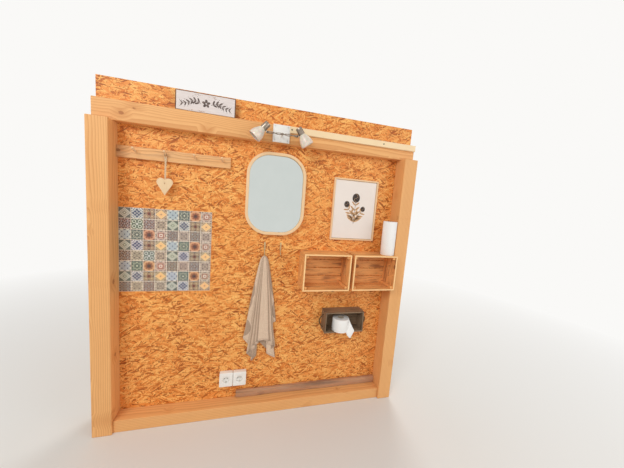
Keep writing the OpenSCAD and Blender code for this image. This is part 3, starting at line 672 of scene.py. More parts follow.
depth = high.y - low.y
glass_out = high.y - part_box("mirror_glass")[0].y + 0.0005
rebate = MIRROR_FACE - MIRROR_REBATE
section = [(0, 0), *lip(LIP, depth - LIP, 180), *lip(MIRROR_FACE - LIP, depth - LIP, 90),
           (MIRROR_FACE, glass_out), (rebate, glass_out), (rebate, 0)]
bm = bmesh.new()
loops = []
for inset, out in section:
    width, height = high.x - low.x - 2 * inset, high.z - low.z - 2 * inset
    loops.append(rounded_loop(bm, centre, width, height, MIRROR_ROUND - inset, high.y - out))
for a, b in zip(loops, loops[1:] + loops[:1]):
    for k in range(len(a)):
        bm.faces.new((a[k - 1], a[k], b[k], b[k - 1]))
layer = bm.verts.layers.float_vector.new("grain")
for v in bm.verts:
    local = v.co - centre
    v[layer] = Vector((math.atan2(local.z, local.x) * 0.2, local.y, math.hypot(local.x, local.z * 0.7)))
piece("mirror_bent_frame", bm, pale_wood, "pale_wood", "mirror_frame", crease=40)

silver, shader = material("mirror_silver", Metallic=1.0)
haze = cloud(silver, object_place(silver), 7.0, 4.0)
paint(silver, shader, mix(silver, haze, screen(204, 211, 208), screen(216, 221, 218)))
silver.node_tree.links.new(spread(silver, haze, 0.3, 0.8, 0.015, 0.05), shader.inputs["Roughness"])
low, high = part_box("mirror_glass")
bm = bmesh.new()
face, back = [rounded_loop(bm, centre, high.x - low.x, high.z - low.z, MIRROR_ROUND - 0.013, y, 18)
              for y in (low.y, high.y)]
bm.faces.new(face)
bm.faces.new(reversed(back))
for k in range(len(face)):
    bm.faces.new((face[k - 1], face[k], back[k], back[k - 1]))
piece("mirror_silvered_glass", bm, silver, "mirror", "mirror_glass")

# Picture: a thin mitred frame of pale wood round a sheet of off-white paper. The print is a plain
# botanical one: three dark seed heads on thin stems that rise from one foot, with ochre leaves.
FRAME_FACE = 0.010
low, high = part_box("picture_frame")
bm = bmesh.new()
stick(bm, low, (low.x + FRAME_FACE, high.y, high.z), "z", 0.0012, 31, mitre="-x")
stick(bm, (high.x - FRAME_FACE, low.y, low.z), high, "z", 0.0012, 32, mitre="+x")
stick(bm, low, (high.x, high.y, low.z + FRAME_FACE), "x", 0.0012, 33, mitre="-z")
stick(bm, (low.x, low.y, high.z - FRAME_FACE), high, "x", 0.0012, 34, mitre="+z")
piece("picture_mitred_frame", bm, pale_wood, "pale_wood", "picture_frame")


def mottled(name, dark, light, scale, detail=3.0, bump=None, **values):
    """A plain finish that wanders between two tones. A bump is a scale, a detail, a depth and a strength."""
    mat, shader = material(name, **values)
    place = object_place(mat)
    paint(mat, shader, mix(mat, cloud(mat, place, scale, detail), screen(*dark), screen(*light)))
    if bump:
        relief(mat, shader, cloud(mat, place, *bump[:2]), *bump[2:])
    return mat


paper = mottled("print_paper", (230, 219, 210), (242, 232, 223), 6.0, bump=(900.0, 3.0, 0.0001, 0.5),
                Roughness=0.75, Specular_IOR_Level=0.25)
low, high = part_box("picture_print")
paper_in = Vector((0.0055, 0, 0.0055))
bm = bmesh.new()
stick(bm, low + paper_in + Vector((0, 0.0004, 0)), high - paper_in, "x", 0.0004)
piece("print_sheet", bm, paper, "print", "picture_print")


def towards(angle):
    """A way along the wall, at an angle from level."""
    return Vector((math.cos(angle), 0, math.sin(angle)))


def ink_spot(bm, at, length, width, angle):
    """A thin flat leaf or stroke of ink, lying on the paper."""
    turn = Matrix.Rotation(-angle, 4, "Y") @ Matrix.Diagonal((length / 2, 1, width / 2, 1))
    lay = Matrix.Translation(at) @ turn @ Matrix.Rotation(math.pi / 2, 4, "X")
    bmesh.ops.create_cone(bm, cap_ends=True, segments=14, radius1=1, radius2=1, depth=0.0004, matrix=lay)


def ink(name, pale, deep):
    tint, shader = material(name, Roughness=0.8)
    wash = spread(tint, cloud(tint, object_place(tint), 90.0), 0.35, 0.65)
    paint(tint, shader, mix(tint, wash, screen(*deep), screen(*pale)))
    return tint


STALKS = ((-0.060, 0.112, 0.019), (0.006, 0.150, 0.027), (0.064, 0.088, 0.016))  # reach, rise, head's radius
STALK_STEPS, HEAD_SPOTS, GOLDEN_ANGLE, COAT = 26, 48, math.radians(137.508), Vector((0, -0.0001, 0))
foot = Vector(((low.x + high.x) / 2, low.y + 0.0004, (low.z + high.z) / 2 - 0.092))
dark_ink, ochre_ink = bmesh.new(), bmesh.new()
for reach, rise, size in STALKS:
    for k in range(STALK_STEPS):
        share = (k + 0.5) / STALK_STEPS
        at = foot + Vector((reach * share * share, 0, rise * share))
        slope = math.atan2(rise, 2 * reach * share)
        ink_spot(dark_ink, at, 1.5 * rise / STALK_STEPS, 0.0022, slope)
        if k % 6 == 3:
            leaf = 0.060 - 0.030 * share
            for angle in (slope - 0.85, slope + 0.85):
                way = towards(angle) * leaf
                ink_spot(ochre_ink, at + way * 0.52 + COAT, leaf, leaf * 0.30, angle)
                ink_spot(dark_ink, at + way * 0.45 + 2 * COAT, leaf * 0.8, 0.0012, angle)
    head = at + Vector((0, 0, size)) + 3 * COAT
    ink_spot(dark_ink, head, size * 2.3, size * 2, math.pi / 2)
    for i in range(HEAD_SPOTS):
        spot = towards(i * GOLDEN_ANGLE) * 0.135 * size * math.sqrt(i + 0.5)
        spot = head + Vector((spot.x, 0, 1.15 * spot.z)) + COAT
        if i % 4 == 0:
            ink_spot(ochre_ink, spot, size * 0.17, size * 0.12, i * GOLDEN_ANGLE)
        elif i > HEAD_SPOTS - 12:
            ink_spot(dark_ink, spot, size * 0.24, size * 0.16, i * GOLDEN_ANGLE)
piece("print_ink", dark_ink, ink("print_ink", (74, 62, 56), (40, 33, 32)), "print")
piece("print_ochre", ochre_ink, ink("print_ochre", (222, 184, 142), (188, 138, 92)), "print")

# Painted board on the top rail: a thin old board, dark at its bare edges, whitewashed over its face.
low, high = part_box("sign_board")
bare_wood = timber("sign_bare_wood", screen(120, 88, 66), screen(70, 46, 34), screen(48, 32, 26),
                   roughness=0.8, fibre=0.2)
bm = bmesh.new()
stick(bm, low + Vector((0, 0.0020, 0)), high, "x", 0.001, 41, cuts=30, wave=0.0012)
piece("sign_wood", bm, bare_wood, "whitewash", "sign_board", crease=50)


def limewash(mat, place, colour):
    """Brushed white paint, thin along the strokes and rubbed through in small spots."""
    strokes = cloud(mat, place, detail=4.0, stretch=(12.0, 260.0, 260.0), roughness=0.7)
    bare = cloud(mat, place, detail=5.0, stretch=(18.0, 60.0, 60.0), roughness=0.7)
    white = mix(mat, strokes, screen(206, 192, 186), screen(240, 232, 228))
    return mix(mat, spread(mat, bare, 0.68, 0.62), colour, white)


white_face = timber("sign_whitewash", screen(176, 150, 132), screen(132, 104, 88), screen(90, 66, 56),
                    roughness=0.75, wear=limewash)
margin = Vector((0.005, 0, 0.004))
face = Vector((high.x, low.y + 0.003, high.z))
bm = bmesh.new()
stick(bm, low + margin, face - margin, "x", 0.0006, 42, cuts=60, wave=0.0016)
piece("sign_paint", bm, white_face, "whitewash")
bm = bmesh.new()
flower = Vector(((low.x + high.x) / 2, low.y - 0.0001, (low.z + high.z) / 2))
PETALS, SPRIG_STEPS = 5, 30
for k in range(PETALS):
    angle = math.pi * (0.5 + 2 * k / PETALS)
    ink_spot(bm, flower + towards(angle) * 0.0125, 0.018, 0.013, angle)
for side in (-1, 1):
    for i in range(SPRIG_STEPS):
        share = (i + 0.5) / SPRIG_STEPS
        at = flower + Vector((side * (0.026 + 0.100 * share), 0, 0.010 * math.sin(share * 5.0) - 0.004))
        slope = side * math.atan(0.5 * math.cos(share * 5.0))
        ink_spot(bm, at, 0.0048, 0.0015, slope)
        if i % 5 == 2:
            leaf = 0.024 - 0.009 * share
            for lean in (-0.8, 0.8):
                angle = (0 if side > 0 else math.pi) + slope + lean
                ink_spot(bm, at + towards(angle) * leaf * 0.55, leaf, leaf * 0.36, angle)
                ink_spot(bm, at + towards(angle) * leaf * 1.35, 0.003, 0.003, 0)
piece("sign_garland", bm, ink("sign_garland", (120, 104, 96), (66, 54, 50)), "whitewash")

# Peg rail: an old weathered board screwed to the lining, with four turned pegs that slope up and out.
PEG_SLOPE, PEG_R, PEG_L, PEG_ROOT, PEG_Z = math.radians(18), 0.006, 0.050, 0.016, 1.583
PEGS_X, PEG_BOARD_T, PEG_BOARD_TOP = (-0.748, -0.601, -0.454, -0.307), 0.022, 1.610
low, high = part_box("peg_rail")


def sunned(mat, place, colour):
    """Faded patches and thin dark drying cracks along the grain."""
    worn = cloud(mat, place, detail=4.0, stretch=(5.0, 60.0, 60.0), roughness=0.65)
    colour = mix(mat, spread(mat, worn, 0.4, 0.72, 0.0, 0.55), colour, screen(214, 176, 134))
    cracks = cloud(mat, place, detail=2.0, stretch=(2.2, 150.0, 150.0))
    return mix(mat, spread(mat, cracks, 0.68, 0.74, 0.0, 0.75), colour, screen(112, 74, 48))


def lathe(bm, profile, turn, steps):
    """Turns a profile of (radius, height) points round Z, then places it."""
    old = set(bm.verts)
    verts = [bm.verts.new((r, 0, z)) for r, z in profile]
    edges = [bm.edges.new(pair) for pair in zip(verts, verts[1:])]
    bmesh.ops.spin(bm, geom=verts + edges, cent=(0, 0, 0), axis=(0, 0, 1), angle=2 * math.pi, steps=steps,
                   use_merge=True, use_duplicate=False)
    bmesh.ops.remove_doubles(bm, verts=[v for v in bm.verts if v not in old], dist=1e-6)
    made = [v for v in bm.verts if v not in old]
    bmesh.ops.transform(bm, matrix=turn, verts=made)
    return made


drift = timber("driftwood", screen(246, 190, 130), screen(184, 124, 74), screen(126, 80, 50), contrast=0.75,
               knots=0.7, roughness=0.8, fibre=0.25, wear=sunned)
bm = bmesh.new()
start = (low.x, high.y - PEG_BOARD_T, low.z)
stick(bm, start, (high.x, high.y, PEG_BOARD_TOP), "x", 0.0025, 51, cuts=60, wave=0.0025)
peg = [(0.0, PEG_L), (PEG_R * 0.55, PEG_L - 0.0006), (PEG_R * 0.9, PEG_L - 0.0025), (PEG_R, PEG_L - 0.006),
       (PEG_R * 0.92, PEG_L * 0.6), (PEG_R, 0.004), (PEG_R, -0.004), (0.0, -0.004)]
slope = Matrix.Rotation(math.pi / 2 - PEG_SLOPE, 4, "X")
pegs = bmesh.new()
grain_layer(pegs)
for i, x in enumerate(PEGS_X):
    verts = lathe(pegs, peg, Matrix.Translation((x, high.y - PEG_ROOT, PEG_Z)) @ slope, 24)
    lay_grain(pegs, verts, "y", 60 + i)
piece("peg_rail_old", bm, drift, "driftwood", "peg_rail", crease=40)
piece("turned_pegs", pegs, pale_wood, "driftwood", crease=40)

# Heart: sawn from thin board and washed in cream, hung on a peg by a folded twill ribbon that is
# knotted through its hole.


def cad_copy(name, bevel):
    """The CAD node's own shape, welded, with flat faces joined and its sharp edges eased."""
    bm = bmesh.new()
    bm.from_mesh(frame["nodes"][name].data)
    bmesh.ops.remove_doubles(bm, verts=bm.verts, dist=1e-6)
    bmesh.ops.dissolve_limit(bm, angle_limit=math.radians(1), verts=bm.verts, edges=bm.edges)
    sharp = [e for e in bm.edges if len(e.link_faces) == 2 and e.calc_face_angle() > math.radians(40)]
    bmesh.ops.bevel(bm, geom=sharp, offset=bevel, segments=3, profile=0.5, affect="EDGES", material=-1,
                    clamp_overlap=True)
    return bm


def creamed(mat, place, colour):
    """A thin cream wash that lets the grain through."""
    thin = cloud(mat, place, detail=4.0, stretch=(14.0, 120.0, 120.0), roughness=0.7)
    return mix(mat, spread(mat, thin, 0.25, 0.6, 0.35, 0.85), colour, screen(234, 203, 162))


cream_wood = timber("cream_wood", screen(236, 206, 160), screen(206, 170, 122), screen(150, 110, 70),
                    knots=0.0, ring=0.005, wear=creamed)
bm = cad_copy("heart", 0.0016)
lay_grain(bm, bm.verts, "z", 71)
piece("heart_cut", bm, cream_wood, "pale_wood", "heart", crease=40)

twill, shader = material("twill_ribbon", Roughness=0.85, Sheen_Weight=0.2)
lay = {"Vector": object_place(twill), "Rotation": (0, math.radians(35), 0)}
slant = node(twill, "ShaderNodeMapping", lay).outputs[0]
rib = node(twill, "ShaderNodeTexWave", {"Vector": slant, "Scale": 260.0, "Distortion": 1.0}).outputs["Fac"]
paint(twill, shader, mix(twill, rib, screen(206, 172, 132), screen(232, 204, 168)))
relief(twill, shader, rib, 0.0003)


def strap(bm, stops, width, thick):
    """A flat band through (middle, direction of its width, direction of its thickness) stops."""
    rings = []
    for at, wide, deep in stops:
        w, t = wide * width / 2, deep * thick / 2
        rings.append([bm.verts.new(at + a * w + b * t) for a, b in ((-1, -1), (1, -1), (1, 1), (-1, 1))])
    for one, other in zip(rings, rings[1:]):
        for k in range(4):
            bm.faces.new((one[k], one[k - 1], other[k - 1], other[k]))
    bm.faces.new(rings[0])
    bm.faces.new(reversed(rings[-1]))


RIBBON_W, RIBBON_T, LOOP_STEPS, FALL_STEPS = 0.0085, 0.0007, 8, 36
low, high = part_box("heart_ribbon")
peg_axis = Vector((0, -math.cos(PEG_SLOPE), math.sin(PEG_SLOPE)))
along_x = Vector((1, 0, 0))
loop_y = (low.y + high.y) / 2
peg_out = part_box("peg_rail")[1].y - PEG_ROOT - loop_y
peg_at = Vector((PEGS_X[1], loop_y, PEG_Z + peg_out * math.tan(PEG_SLOPE)))
fall = peg_at.z - low.z - 0.003
loop_r = PEG_R / math.cos(PEG_SLOPE) + 0.0006
bm = bmesh.new()
for side in (-1, 1):
    stops = []
    for i in range(LOOP_STEPS + 1):
        out = towards(math.pi / 2 * (1 - side * i / LOOP_STEPS))
        stops.append((peg_at + out * loop_r, peg_axis, out))
    for i in range(1, FALL_STEPS + 1):
        share = i / FALL_STEPS
        turn = math.pi / 2 * min(1.0, share * 4.5)
        near = max(0.0, 1 - share * 3.5)
        at = peg_at + Vector((side * (loop_r * near ** 1.5), side * 0.0005 * (1 - near), -fall * share))
        at.x += 0.0012 * math.sin(share * 5) * (1 - share)
        wide = peg_axis * math.cos(turn) + along_x * side * math.sin(turn)
        stops.append((at, wide.normalized(), wide.cross(Vector((0, 0, 1))).normalized()))
    strap(bm, stops, RIBBON_W, RIBBON_T)
piece("ribbon_loop", bm, twill, "ribbon", "heart_ribbon", crease=40)
bm = bmesh.new()
knot = Matrix.Translation((peg_at.x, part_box("heart")[0].y + 0.0005, low.z + 0.0035))
bmesh.ops.create_uvsphere(bm, u_segments=16, v_segments=10, radius=0.0021, matrix=knot)
piece("ribbon_knot", bm, twill, "ribbon", crease=60)

# Twin light: a white junction plate on the rail, two steel rods twisted together in front of it, and
# a lamp on a knuckle at each end: a nickel cap and a bell of marbled frosted glass with its bulb inside.
PLASTIC_BUMP = (700.0, 2.0, 0.00005, 0.4)
plastic = mottled("white_plastic", (232, 228, 220), (244, 242, 237), 9.0, bump=PLASTIC_BUMP, Roughness=0.38)


def facing_room(at):
    """Places what is turned round Z so that it faces the room."""
    return Matrix.Translation(at) @ Matrix.Rotation(math.pi / 2, 4, "X")


plate_low, plate_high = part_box("light_plate")
LID_IN, LID_SCREW_IN = 0.003, 0.012
lid_screw = [(0.0, 0.0006), (0.003, 0.0006), (0.0036, 0.0), (0.0036, -0.001), (0.0, -0.001)]
lid_back = (plate_high.x - LID_IN, plate_low.y + 0.0032, plate_high.z - LID_IN)
bm = bmesh.new()
stick(bm, plate_low + Vector((0, 0.003, 0)), plate_high, "x", 0.0015)
stick(bm, plate_low + Vector((LID_IN, 0, LID_IN)), lid_back, "x", 0.0014)
for x in (plate_low.x + LID_SCREW_IN, plate_high.x - LID_SCREW_IN):
    for z in (plate_low.z + LID_SCREW_IN, plate_high.z - LID_SCREW_IN):
        lathe(bm, lid_screw, facing_room((x, plate_low.y + 0.0006, z)), 16)
piece("light_base", bm, plastic, "white_plastic", "light_plate", crease=35)

nickel = brushed("satin_nickel", screen(158, 144, 130), 0.28)
pins = {j["name"]: Vector(j["pos_m"]) for j in frame["joints"]}
left_pin, right_pin = pins["left_tilt"], pins["right_tilt"]
bar_centre = (left_pin + right_pin) / 2
ROD_R, ROD_OFF, ROD_IN, TWIST, ROD_STEPS = 0.0026, 0.0042, 0.013, 0.104, 64
rod_l = right_pin.x - left_pin.x - 2 * ROD_IN


def strand(bm, start, radius, sides, centre, axis, length, lay, steps):
    """A round wire wound about an axis through a centre, one turn for each lay, with closed ends."""
    ring = bmesh.ops.create_circle(bm, cap_ends=False, segments=sides, radius=radius, matrix=start)["verts"]
    edges = list(dict.fromkeys(e for v in ring for e in v.link_edges))
    bmesh.ops.spin(bm, geom=ring + edges, cent=centre, axis=axis, dvec=Vector(axis) * length / steps,
                   angle=2 * math.pi * length / lay, steps=steps, use_duplicate=False)
    bmesh.ops.holes_fill(bm, edges=[e for e in bm.edges if len(e.link_faces) == 1], sides=sides)


bm = bmesh.new()
for side in (-1, 1):
    rod_end = Matrix.Translation((left_pin.x + ROD_IN, bar_centre.y, bar_centre.z + side * ROD_OFF))
    start = rod_end @ Matrix.Rotation(math.pi / 2, 4, "Y")
    strand(bm, start, ROD_R, 10, bar_centre, (1, 0, 0), rod_l, TWIST, ROD_STEPS)
reach = plate_low.y - bar_centre.y
stem_at = facing_room((bar_centre.x, plate_low.y, bar_centre.z))
boss = [(0.0, reach - 0.006), (0.0062, reach - 0.006), (0.0066, reach - 0.004), (0.0066, reach + 0.004),
        (0.0055, reach + 0.0055), (0.0, reach + 0.006)]
lathe(bm, boss, stem_at, 32)
collar = [(0.0, 0.007), (0.0064, 0.007), (0.0066, 0.008), (0.0066, 0.013), (0.0058, 0.014), (0.0, 0.014)]
knuckle_pin = [(0.0, -0.0072), (0.0016, -0.0072), (0.0019, -0.0065), (0.0019, 0.0065), (0.0016, 0.0072),
               (0.0, 0.0072)]
for pin, side in ((left_pin, -1), (right_pin, 1)):
    lathe(bm, collar, Matrix.Translation(pin) @ Matrix.Rotation(-side * math.pi / 2, 4, "Y"), 28)
    for way in (-1, 1):
        near, wide = way * 0.0033, way * 0.0063
        ear = [(0.0, near), (0.0062, near), (0.0062, wide - way * 0.0005), (0.0052, wide), (0.0, wide)]
        lathe(bm, ear, facing_room(pin), 28)
        root = pin.x - side * 0.008
        stick(bm, (min(pin.x, root), pin.y + min(near, wide), pin.z - 0.0045),
              (max(pin.x, root), pin.y + max(near, wide), pin.z + 0.0045), "x", 0.0004)
    lathe(bm, knuckle_pin, facing_room(pin), 16)
piece("light_twisted_bar", bm, nickel, "steel", "light_bar", crease=35)
bm = bmesh.new()
stem = [(0.0, 0.0), (0.011, 0.0), (0.0105, 0.002), (0.0060, 0.0045), (0.0056, reach - 0.005),
        (0.0, reach - 0.005)]
lathe(bm, stem, stem_at, 32)
piece("light_stem", bm, plastic, "white_plastic", crease=35)

alabaster, shader = material("marbled_glass", Roughness=0.3, Subsurface_Weight=0.2, Subsurface_Scale=0.01,
                             Coat_Weight=0.3, Coat_Roughness=0.15)
veins = cloud(alabaster, object_place(alabaster), 38.0, 4.0, roughness=0.6)
marble = spread(alabaster, veins, 0.35, 0.68)
paint(alabaster, shader, mix(alabaster, marble, screen(236, 220, 202), screen(206, 192, 176)))
relief(alabaster, shader, veins, 0.0001, 0.2)
pearl = mottled("pearl_bulb", (240, 236, 224), (250, 248, 242), 60.0, 2.0, Roughness=0.2, Coat_Weight=0.5)
CAP_R, CAP_TOP, NECK, LAMP_OFF = 0.019, 0.038, 0.004, 0.028
BELL_L, BELL_R, BELL_T, BELL_CURVE, BELL_STEPS = 0.068, 0.037, 0.003, math.radians(105), 16


def bell(i, wall=0.0):
    """A point of the glass, from the neck at step 0 to just short of the mouth."""
    swell = math.sin(BELL_CURVE * i / BELL_STEPS) / math.sin(BELL_CURVE)
    return CAP_R - 0.002 + (BELL_R - CAP_R + 0.002) * swell - wall, -NECK - BELL_L * i / BELL_STEPS


mouth = -NECK - BELL_L
rim = [(BELL_R, mouth + 0.001), (BELL_R - 0.0008, mouth), (BELL_R - 0.0022, mouth),
       (BELL_R - BELL_T, mouth + 0.001)]
glass = [bell(i) for i in range(BELL_STEPS)] + rim + [bell(i, BELL_T) for i in range(BELL_STEPS - 1, -1, -1)]
cap = [(0.0, CAP_TOP), (0.015, CAP_TOP), (0.0178, CAP_TOP - 0.001), (CAP_R, CAP_TOP - 0.003), (CAP_R, 0.024),
       (0.0184, 0.0236), (0.0184, 0.0224), (CAP_R, 0.022), (CAP_R, 0.0), (0.0184, -0.0035), (0.0174, -NECK),
       (0.0, -NECK)]
bulb = [(0.0, -NECK), (0.0105, -NECK), (0.0105, -0.016), (0.0090, -0.017), (0.0120, -0.026), (0.0172, -0.038),
        (0.0165, -0.048), (0.0110, -0.056), (0.0, -0.059)]
eye = [(0.0021, 0.003), (0.0060, 0.003), (0.0065, 0.0024), (0.0065, -0.0024), (0.0060, -0.003),
       (0.0021, -0.003), (0.0021, 0.003)]
for name, pin, side, tilt in (("left", left_pin, -1, 42), ("right", right_pin, 1, -35)):
    body = name + "_lamp"
    swing = Matrix.Translation(pin) @ Matrix.Rotation(math.radians(tilt), 4, "Y")
    hang = swing @ Matrix.Translation((side * LAMP_OFF, 0, 0))
    bm = bmesh.new()
    lathe(bm, cap, hang, 56)
    lathe(bm, eye, swing @ facing_room((0, 0, 0)), 32)
    arm = stick(bm, (0.0055, -0.0028, -0.0038), (LAMP_OFF - 0.0165, 0.0028, 0.0050), "x", 0.0008)
    bmesh.ops.transform(bm, matrix=swing @ Matrix.Diagonal((side, 1, 1, 1)), verts=arm)
    piece(name + "_nickel_cap", bm, nickel, "steel", name + "_holder", body=body, crease=35)
    bm = bmesh.new()
    lathe(bm, bulb, hang, 48)
    piece(name + "_bulb", bm, pearl, "frosted_glass", body=body, crease=50)
    bm = bmesh.new()
    lathe(bm, glass + glass[:1], hang, 64)
    piece(name + "_glass_bell", bm, alabaster, "frosted_glass", name + "_shade", body=body, crease=60)

# Cable duct: cream plastic trunking screwed along the top of the rail, a base with a snapped-on lid,
# and small dark screws through the lid where it was fixed again.
cream = mottled("cream_plastic", (236, 205, 160), (250, 226, 184), 7.0, 4.0, PLASTIC_BUMP, Roughness=0.45)
low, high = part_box("cable_duct")
LID_STEP = 0.0008
bm = bmesh.new()
stick(bm, low + Vector((0, 0.0045, 0)), high, "x", 0.0008)
stick(bm, low + Vector((0, 0, LID_STEP)), (high.x, low.y + 0.0050, high.z - LID_STEP), "x", 0.0025)
piece("duct_lid_and_base", bm, cream, "white_plastic", "cable_duct")
bm = bmesh.new()
for share in (0.012, 0.72):
    screw_head(bm, (low.x + (high.x - low.x) * share, low.y, (low.z + high.z) / 2), (0, -1, 0), 0.0044)
black = mottled("black_screws", (22, 20, 19), (48, 44, 40), 900.0, 2.0, Metallic=0.4, Roughness=0.45)
piece("duct_screws", bm, black, "steel", crease=35)

# Wall hooks: bent brass wire on a small plate, with a ball at the tip and a screw above.
brass = brushed("pale_brass", screen(214, 190, 146), 0.3)
WIRE_R, WIRE_OUT, BEND_R, TIP, HOOK_PLATE_T, HOOK_PLATE_H = 0.0024, 0.0046, 0.009, 0.008, 0.0025, 0.050
for name in ("left_hook", "right_hook"):
    low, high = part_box(name)
    x, wall = (low.x + high.x) / 2, high.y
    bend_z = low.z + BEND_R + WIRE_R
    bm = bmesh.new()
    plate = (x - 0.0045, wall - HOOK_PLATE_T, high.z - HOOK_PLATE_H)
    stick(bm, plate, (x + 0.0045, wall, high.z), "z", 0.0010)
    start = Matrix.Translation((x, wall - WIRE_OUT, high.z - TIP))
    ring = bmesh.ops.create_circle(bm, cap_ends=True, segments=16, radius=WIRE_R, matrix=start)["verts"]
    end = pull(bm, ring[0].link_faces[0], (0, 0, bend_z - high.z + TIP))
    bent = bmesh.ops.spin(bm, geom=[end], cent=(x, wall - WIRE_OUT - BEND_R, bend_z), axis=(1, 0, 0),
                          angle=-math.pi, steps=20, use_duplicate=False)["geom_last"]
    pull(bm, [g for g in bent if isinstance(g, bmesh.types.BMFace)][0], (0, 0, TIP))
    ball = Matrix.Translation((x, wall - WIRE_OUT - 2 * BEND_R, bend_z + TIP))
    bmesh.ops.create_uvsphere(bm, u_segments=20, v_segments=12, radius=WIRE_R * 1.6, matrix=ball)
    screw_head(bm, (x, wall - HOOK_PLATE_T, high.z - 0.004), (0, -1, 0), 0.0026)
    piece(name + "_bent_wire", bm, brass, "brass", name, crease=40)

# Towel: a linen hand towel hung on the left hook by the middle of its long edge. Every thread keeps its
# length: a point lies as far from the hook as it does on the flat cloth, and the cloth falls in pleats.
CLOTH_W, CLOTH_L, CLOTH_T, HEM = 0.88, 0.56, 0.0008, 0.012
BUNCH, BUNCH_END, FIRST = 0.10, 0.50, 0.004
hook_low, hook_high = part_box("left_hook")
hang_at = Vector(((hook_low.x + hook_high.x) / 2, hook_high.y - WIRE_OUT - BEND_R, hook_low.z + 0.0005))
# The folds that the cloth goes through, each way from the notch in the middle of its far edge, as the
# sideways and forward slope of its fall.
RIGHT_FOLDS = (
    (0.044, 0.036), (0.108, 0.034), (0.040, 0.026), (0.150, 0.022), (0.085, 0.015), (0.172, 0.012),
    (0.070, 0.004), (0.158, 0.000), (-0.015, -0.006), (0.100, -0.009), (0.020, -0.012), (0.215, -0.010),
    (0.120, -0.014), (0.200, -0.016), (0.150, -0.016))
LEFT_FOLDS = (
    (0.044, 0.036), (-0.030, 0.034), (0.020, 0.027), (-0.062, 0.024), (-0.005, 0.018), (-0.098, 0.015),
    (-0.040, 0.009), (-0.130, 0.008), (-0.056, 0.003), (-0.079, 0.002), (-0.020, -0.002), (-0.198, -0.001),
    (-0.070, -0.005), (-0.160, -0.007), (-0.020, -0.010), (-0.130, -0.012), (-0.030, -0.014),
    (-0.075, -0.014))


def on_folds(angle):
    """Sideways and forward slope there, and the painted shade of the crease beside the panel over it: darker
    the nearer that panel's edge, and 0.6 over a panel turned back.
    """
    folds = RIGHT_FOLDS if angle >= 0 else LEFT_FOLDS
    panels = [math.dist(a, b) for a, b in zip(folds, folds[1:])]
    way = min(abs(angle) / (math.pi / 2), 1) * sum(panels)
    for i, panel in enumerate(panels):
        if way <= panel:
            break
        way -= panel
    a, b = folds[i], folds[i + 1]
    share = min(way / panel, 1)
    fullest = 0.008 if i < 8 and i % 2 == 0 else 0.003
    belly = min(0.16 * abs(b[0] - a[0]), fullest) * math.sin(math.pi * share)
    side = a[0] + (b[0] - a[0]) * share
    over = folds[i - 1][0] if i > 1 else side + 1
    # Painted shade: darkest right beside the edge of the panel over this one, and 0.6 on panels turned back.
    crease = math.exp(-abs(side - over) / 0.012) if i % 2 == 0 else 0.6
    return Vector((side, a[1] + (b[1] - a[1]) * share + belly, crease))


def fall_at(angle):
    """Sideways and forward slope, and painted crease shade, of the thread that leaves the hook at this angle
    on the flat cloth.
    """
    return sum((on_folds(angle + k * 0.0045) for k in range(-2, 3)), Vector((0, 0, 0))) / 5


COLUMNS, ROWS_DOWN = 520, 50
bm = bmesh.new()
flat_at = {}
grid = []
crease_shade = bm.verts.layers.float.new("crease")
for j in range(COLUMNS + 1):
    angle = -math.pi / 2 + math.pi * j / COLUMNS
    side, out, crease = fall_at(angle)
    down = math.sqrt(1 - side * side - out * out)
    to_end, to_side = max(math.cos(angle), 1e-6), max(abs(math.sin(angle)), 1e-6)
    reach = min(CLOTH_L / to_end, CLOTH_W / 2 / to_side)
    line = []
    for i in range(ROWS_DOWN + 1):
        span = FIRST + (reach - FIRST) * i / ROWS_DOWN
        flat = Vector((span * math.sin(angle), span * math.cos(angle)))
        sag = 0.006 * span * solid_noise.noise(Vector((flat.x * 9, flat.y * 5, 0)))
        spared = BUNCH * max(0.0, 1 - (span / BUNCH_END) ** 2) * (1 - 0.9 * math.exp(-span / 0.012))
        wide = span + spared
        v = bm.verts.new(hang_at + Vector((side * wide, -out * wide - sag, -span * down)))
        flat_at[v] = flat
        v[crease_shade] = crease
        line.append(v)
    grid.append(line)
for a, b in zip(grid, grid[1:]):
    for i in range(ROWS_DOWN):
        bm.faces.new((a[i], a[i + 1], b[i + 1], b[i]))
cloth_map = bm.loops.layers.uv.new("cloth")
for f in bm.faces:
    for corner in f.loops:
        corner[cloth_map].uv = flat_at[corner.vert]

linen, shader = material("linen", Roughness=0.9, Sheen_Weight=0.25, Specular_IOR_Level=0.2)
threads = node(linen, "ShaderNodeUVMap", uv_map="cloth").outputs[0]
yarn = {"Vector": threads, "Scale": 180.0, "Distortion": 2.0, "Detail": 2.0}
warp = node(linen, "ShaderNodeTexWave", yarn, bands_direction="X").outputs["Fac"]
weft = node(linen, "ShaderNodeTexWave", yarn, bands_direction="Y").outputs["Fac"]
weave = calc(linen, "MAXIMUM", warp, weft)
slub_x, slub_y = [cloud(linen, threads, stretch=way) for way in ((14.0, 500.0, 1.0), (500.0, 14.0, 1.0))]
slubs = calc(linen, "ADD", slub_x, slub_y)
tone = calc(linen, "MULTIPLY_ADD", calc(linen, "SUBTRACT", slubs, 1.0), 1.1, weave)
colour = mix(linen, spread(linen, tone, 0.2, 1.2), screen(196, 168, 142), screen(236, 210, 184))
parts = xyz(linen, threads)
hem_side = calc(linen, "SUBTRACT", CLOTH_W / 2, calc(linen, "ABSOLUTE", parts[0]))
hem_end = calc(linen, "MINIMUM", parts[1], calc(linen, "SUBTRACT", CLOTH_L, parts[1]))
hem = calc(linen, "ABSOLUTE", calc(linen, "SUBTRACT", calc(linen, "MINIMUM", hem_side, hem_end), HEM))
stitch = spread(linen, hem, 0.0012, 0.0004)
colour = mix(linen, calc(linen, "MULTIPLY", stitch, 0.45), colour, screen(160, 134, 110))
# Painted shade: the cloth is darkened in the creases beside the panel over it, and on the panels turned back.
shade = node(linen, "ShaderNodeAttribute", attribute_name="crease").outputs["Fac"]
shade = spread(linen, shade, 0.05, 0.9, 0.0, 0.75)
paint(linen, shader, mix(linen, shade, colour, screen(118, 92, 76), "MULTIPLY"))
